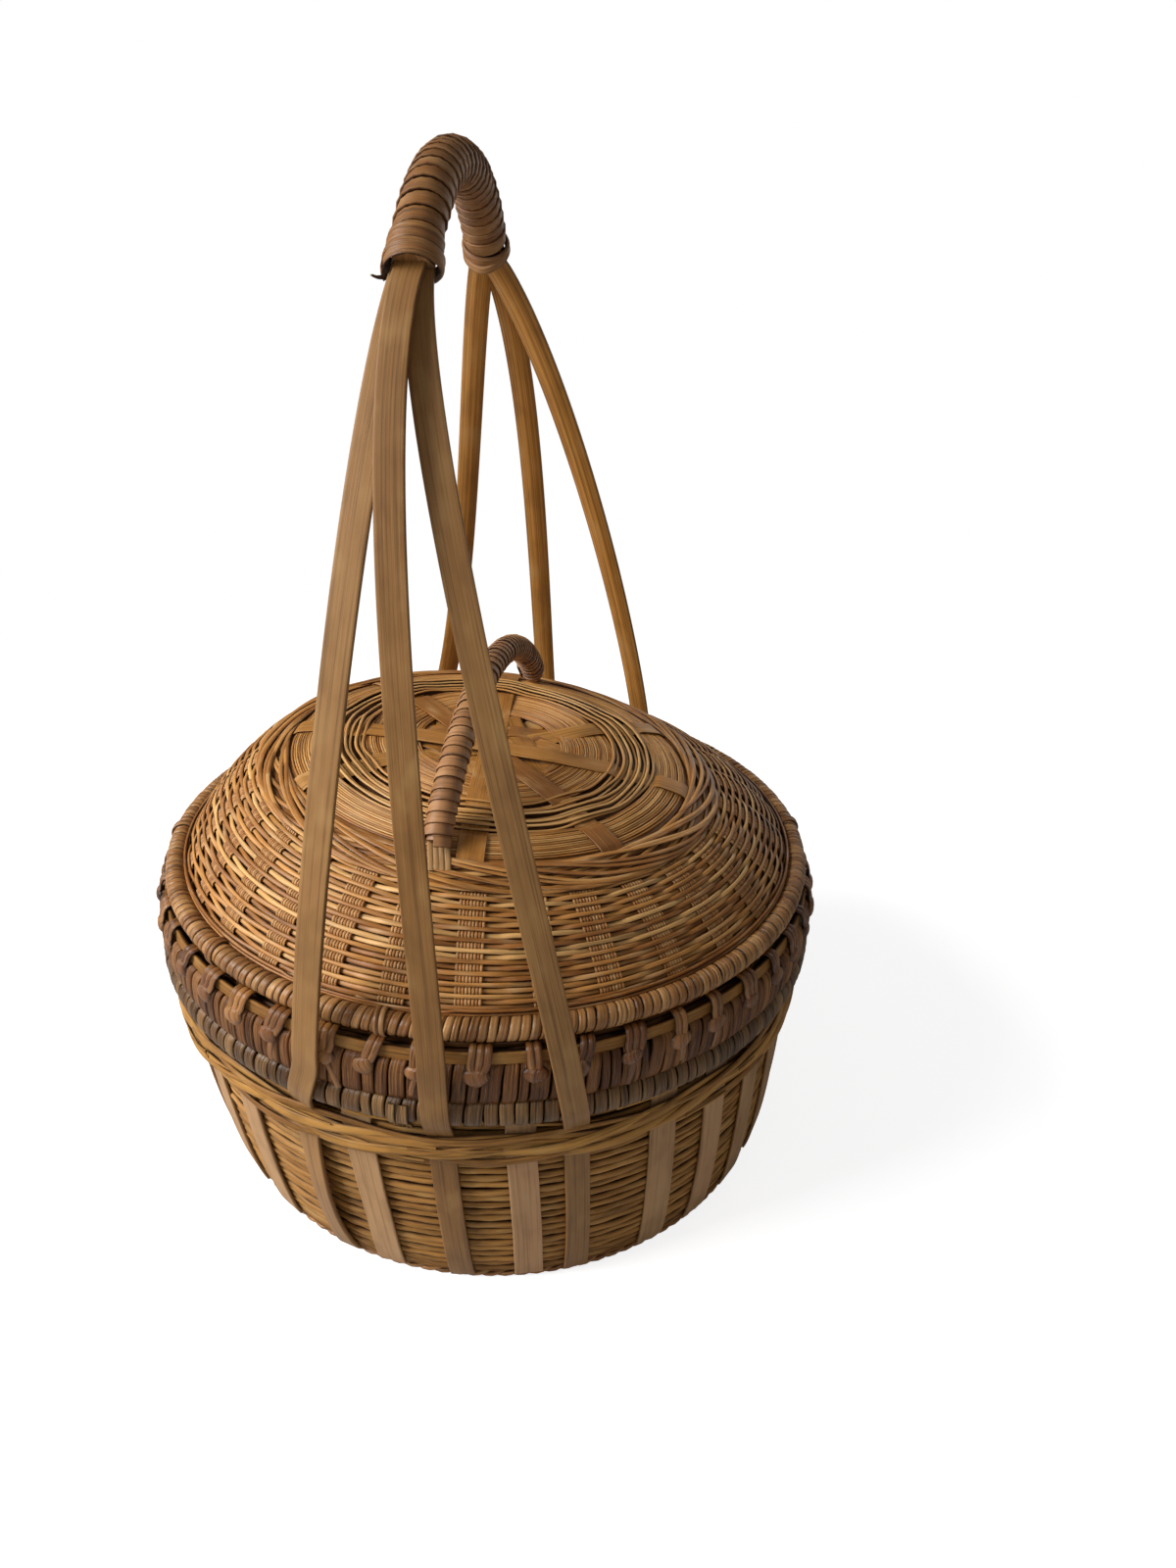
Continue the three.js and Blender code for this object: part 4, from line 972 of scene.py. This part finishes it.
tabs = Strands()
for side, pick in ((-1, 0.3), (1, 0.1)):
    a0 = side * math.pi / 2 - math.radians(6)
    r = np.linspace(84, 105, 30)
    for off in (-3.6, -1.2, 1.1, 3.5):
        end = 101.5 + rng.uniform(-2, 0.5)
        rr = np.linspace(86, end, 30)
        at, out = on_lid(a0 + (off + 0.32 * (rr - 86)) / rr, dome_s(rr), 1.2 + 0.9 * ease((96 - rr) / 7))
        tabs.lay(at, out, 2.5, 0.8, SPLIT, pick=pick + 0.1 * rng.random())
tabs.piece("arch_tab_strips", "lid", PALE, "flat_strand", "arch_tab_near", "arch_tab_far")
worn = Strands()
at, _, out = ARCH_ARC.at(np.linspace(1 - 17 / length, 1 - 3 / length, 20))
turned_out = unit(out * -0.2 - ARCH_ARC.sideways * 1.0)
worn.lay(at + turned_out * 6.2, turned_out, 6.0, 1.2, SLAT, pick=0.5)
worn.piece("arch_worn_patch", "lid", WORN, "flat_strand")

# ---------------------------------------------------------------- floor and light
floor_mesh = bpy.data.meshes.new("floor")
floor_mesh.from_pydata([(-6, -6, 0), (6, -6, 0), (6, 6, 0), (-6, 6, 0)], [], [(0, 1, 2, 3)])
floor = bpy.data.objects.new("floor", floor_mesh)
bpy.context.scene.collection.objects.link(floor)
paper = Nodes("paper")
spot = paper.tree.nodes.new("ShaderNodeTexCoord").outputs["Object"]
away_ = paper.make("ShaderNodeVectorMath", i0=spot)
away_.operation = "LENGTH"
lit = paper.make("ShaderNodeBsdfDiffuse", Color=(0.6, 0.6, 0.6, 1))
glow = paper.make("ShaderNodeEmission", Color=(1, 1, 1, 1))
ray = paper.tree.nodes.new("ShaderNodeLightPath").outputs["Is Camera Ray"]
paper.tree.links.new(paper.math("MULTIPLY", ray, 0.8), glow.inputs["Strength"])
both = paper.tree.nodes.new("ShaderNodeAddShader")
paper.tree.links.new(lit.outputs[0], both.inputs[0])
paper.tree.links.new(glow.outputs[0], both.inputs[1])
plain = paper.make("ShaderNodeEmission", Color=(1, 1, 1, 1), Strength=1.0)
edge_ = paper.tree.nodes.new("ShaderNodeMixShader")
fade_ = paper.span(away_.outputs["Value"], 0.35, 0.8)
paper.tree.links.new(paper.math("MULTIPLY", fade_, ray), edge_.inputs[0])
paper.tree.links.new(both.outputs[0], edge_.inputs[1])
paper.tree.links.new(plain.outputs[0], edge_.inputs[2])
sheet = paper.tree.nodes.new("ShaderNodeOutputMaterial")
paper.tree.links.new(edge_.outputs[0], sheet.inputs[0])
paper = paper.mat
floor_mesh.materials.append(paper)
floor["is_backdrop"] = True

world = bpy.data.worlds.new("studio")
bpy.context.scene.world = world
world.use_nodes = True
tree = world.node_tree
tree.nodes.clear()
path = tree.nodes.new("ShaderNodeLightPath")
seen = tree.nodes.new("ShaderNodeMath")
seen.operation = "MAXIMUM"
tree.links.new(path.outputs["Is Camera Ray"], seen.inputs[0])
tree.links.new(path.outputs["Is Transmission Ray"], seen.inputs[1])
soft, white = tree.nodes.new("ShaderNodeBackground"), tree.nodes.new("ShaderNodeBackground")
soft.inputs["Color"].default_value = (1, 1, 1, 1)
soft.inputs["Strength"].default_value = 0.15
white.inputs["Color"].default_value = (1, 1, 1, 1)
blend = tree.nodes.new("ShaderNodeMixShader")
tree.links.new(seen.outputs[0], blend.inputs[0])
tree.links.new(soft.outputs[0], blend.inputs[1])
tree.links.new(white.outputs[0], blend.inputs[2])
out = tree.nodes.new("ShaderNodeOutputWorld")
tree.links.new(blend.outputs[0], out.inputs[0])


def lamp(name, at, to, size, power):
    data = bpy.data.lights.new(name, "AREA")
    data.size, data.energy = size, power
    obj = bpy.data.objects.new(name, data)
    bpy.context.scene.collection.objects.link(obj)
    d = np.array(to, float) - np.array(at, float)
    z = unit(-d)
    x = unit(np.cross(np.array([0, 0, 1.0]), z))
    y = np.cross(z, x)
    obj.matrix_world = Matrix([[x[i], y[i], z[i], at[i]] for i in range(3)] + [[0, 0, 0, 1]])


lamp("key", (-1.75, -0.68, 1.35), (0, 0, 0.15), 1.3, 68)
lamp("fill", (0.5, -1.9, 1.2), (0, 0, 0.15), 1.4, 4)
lamp("back", (0.9, 2.0, 0.3), (0, 0, 0.15), 1.5, 7)
bpy.context.scene.view_settings.view_transform = "Standard"

low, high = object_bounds()
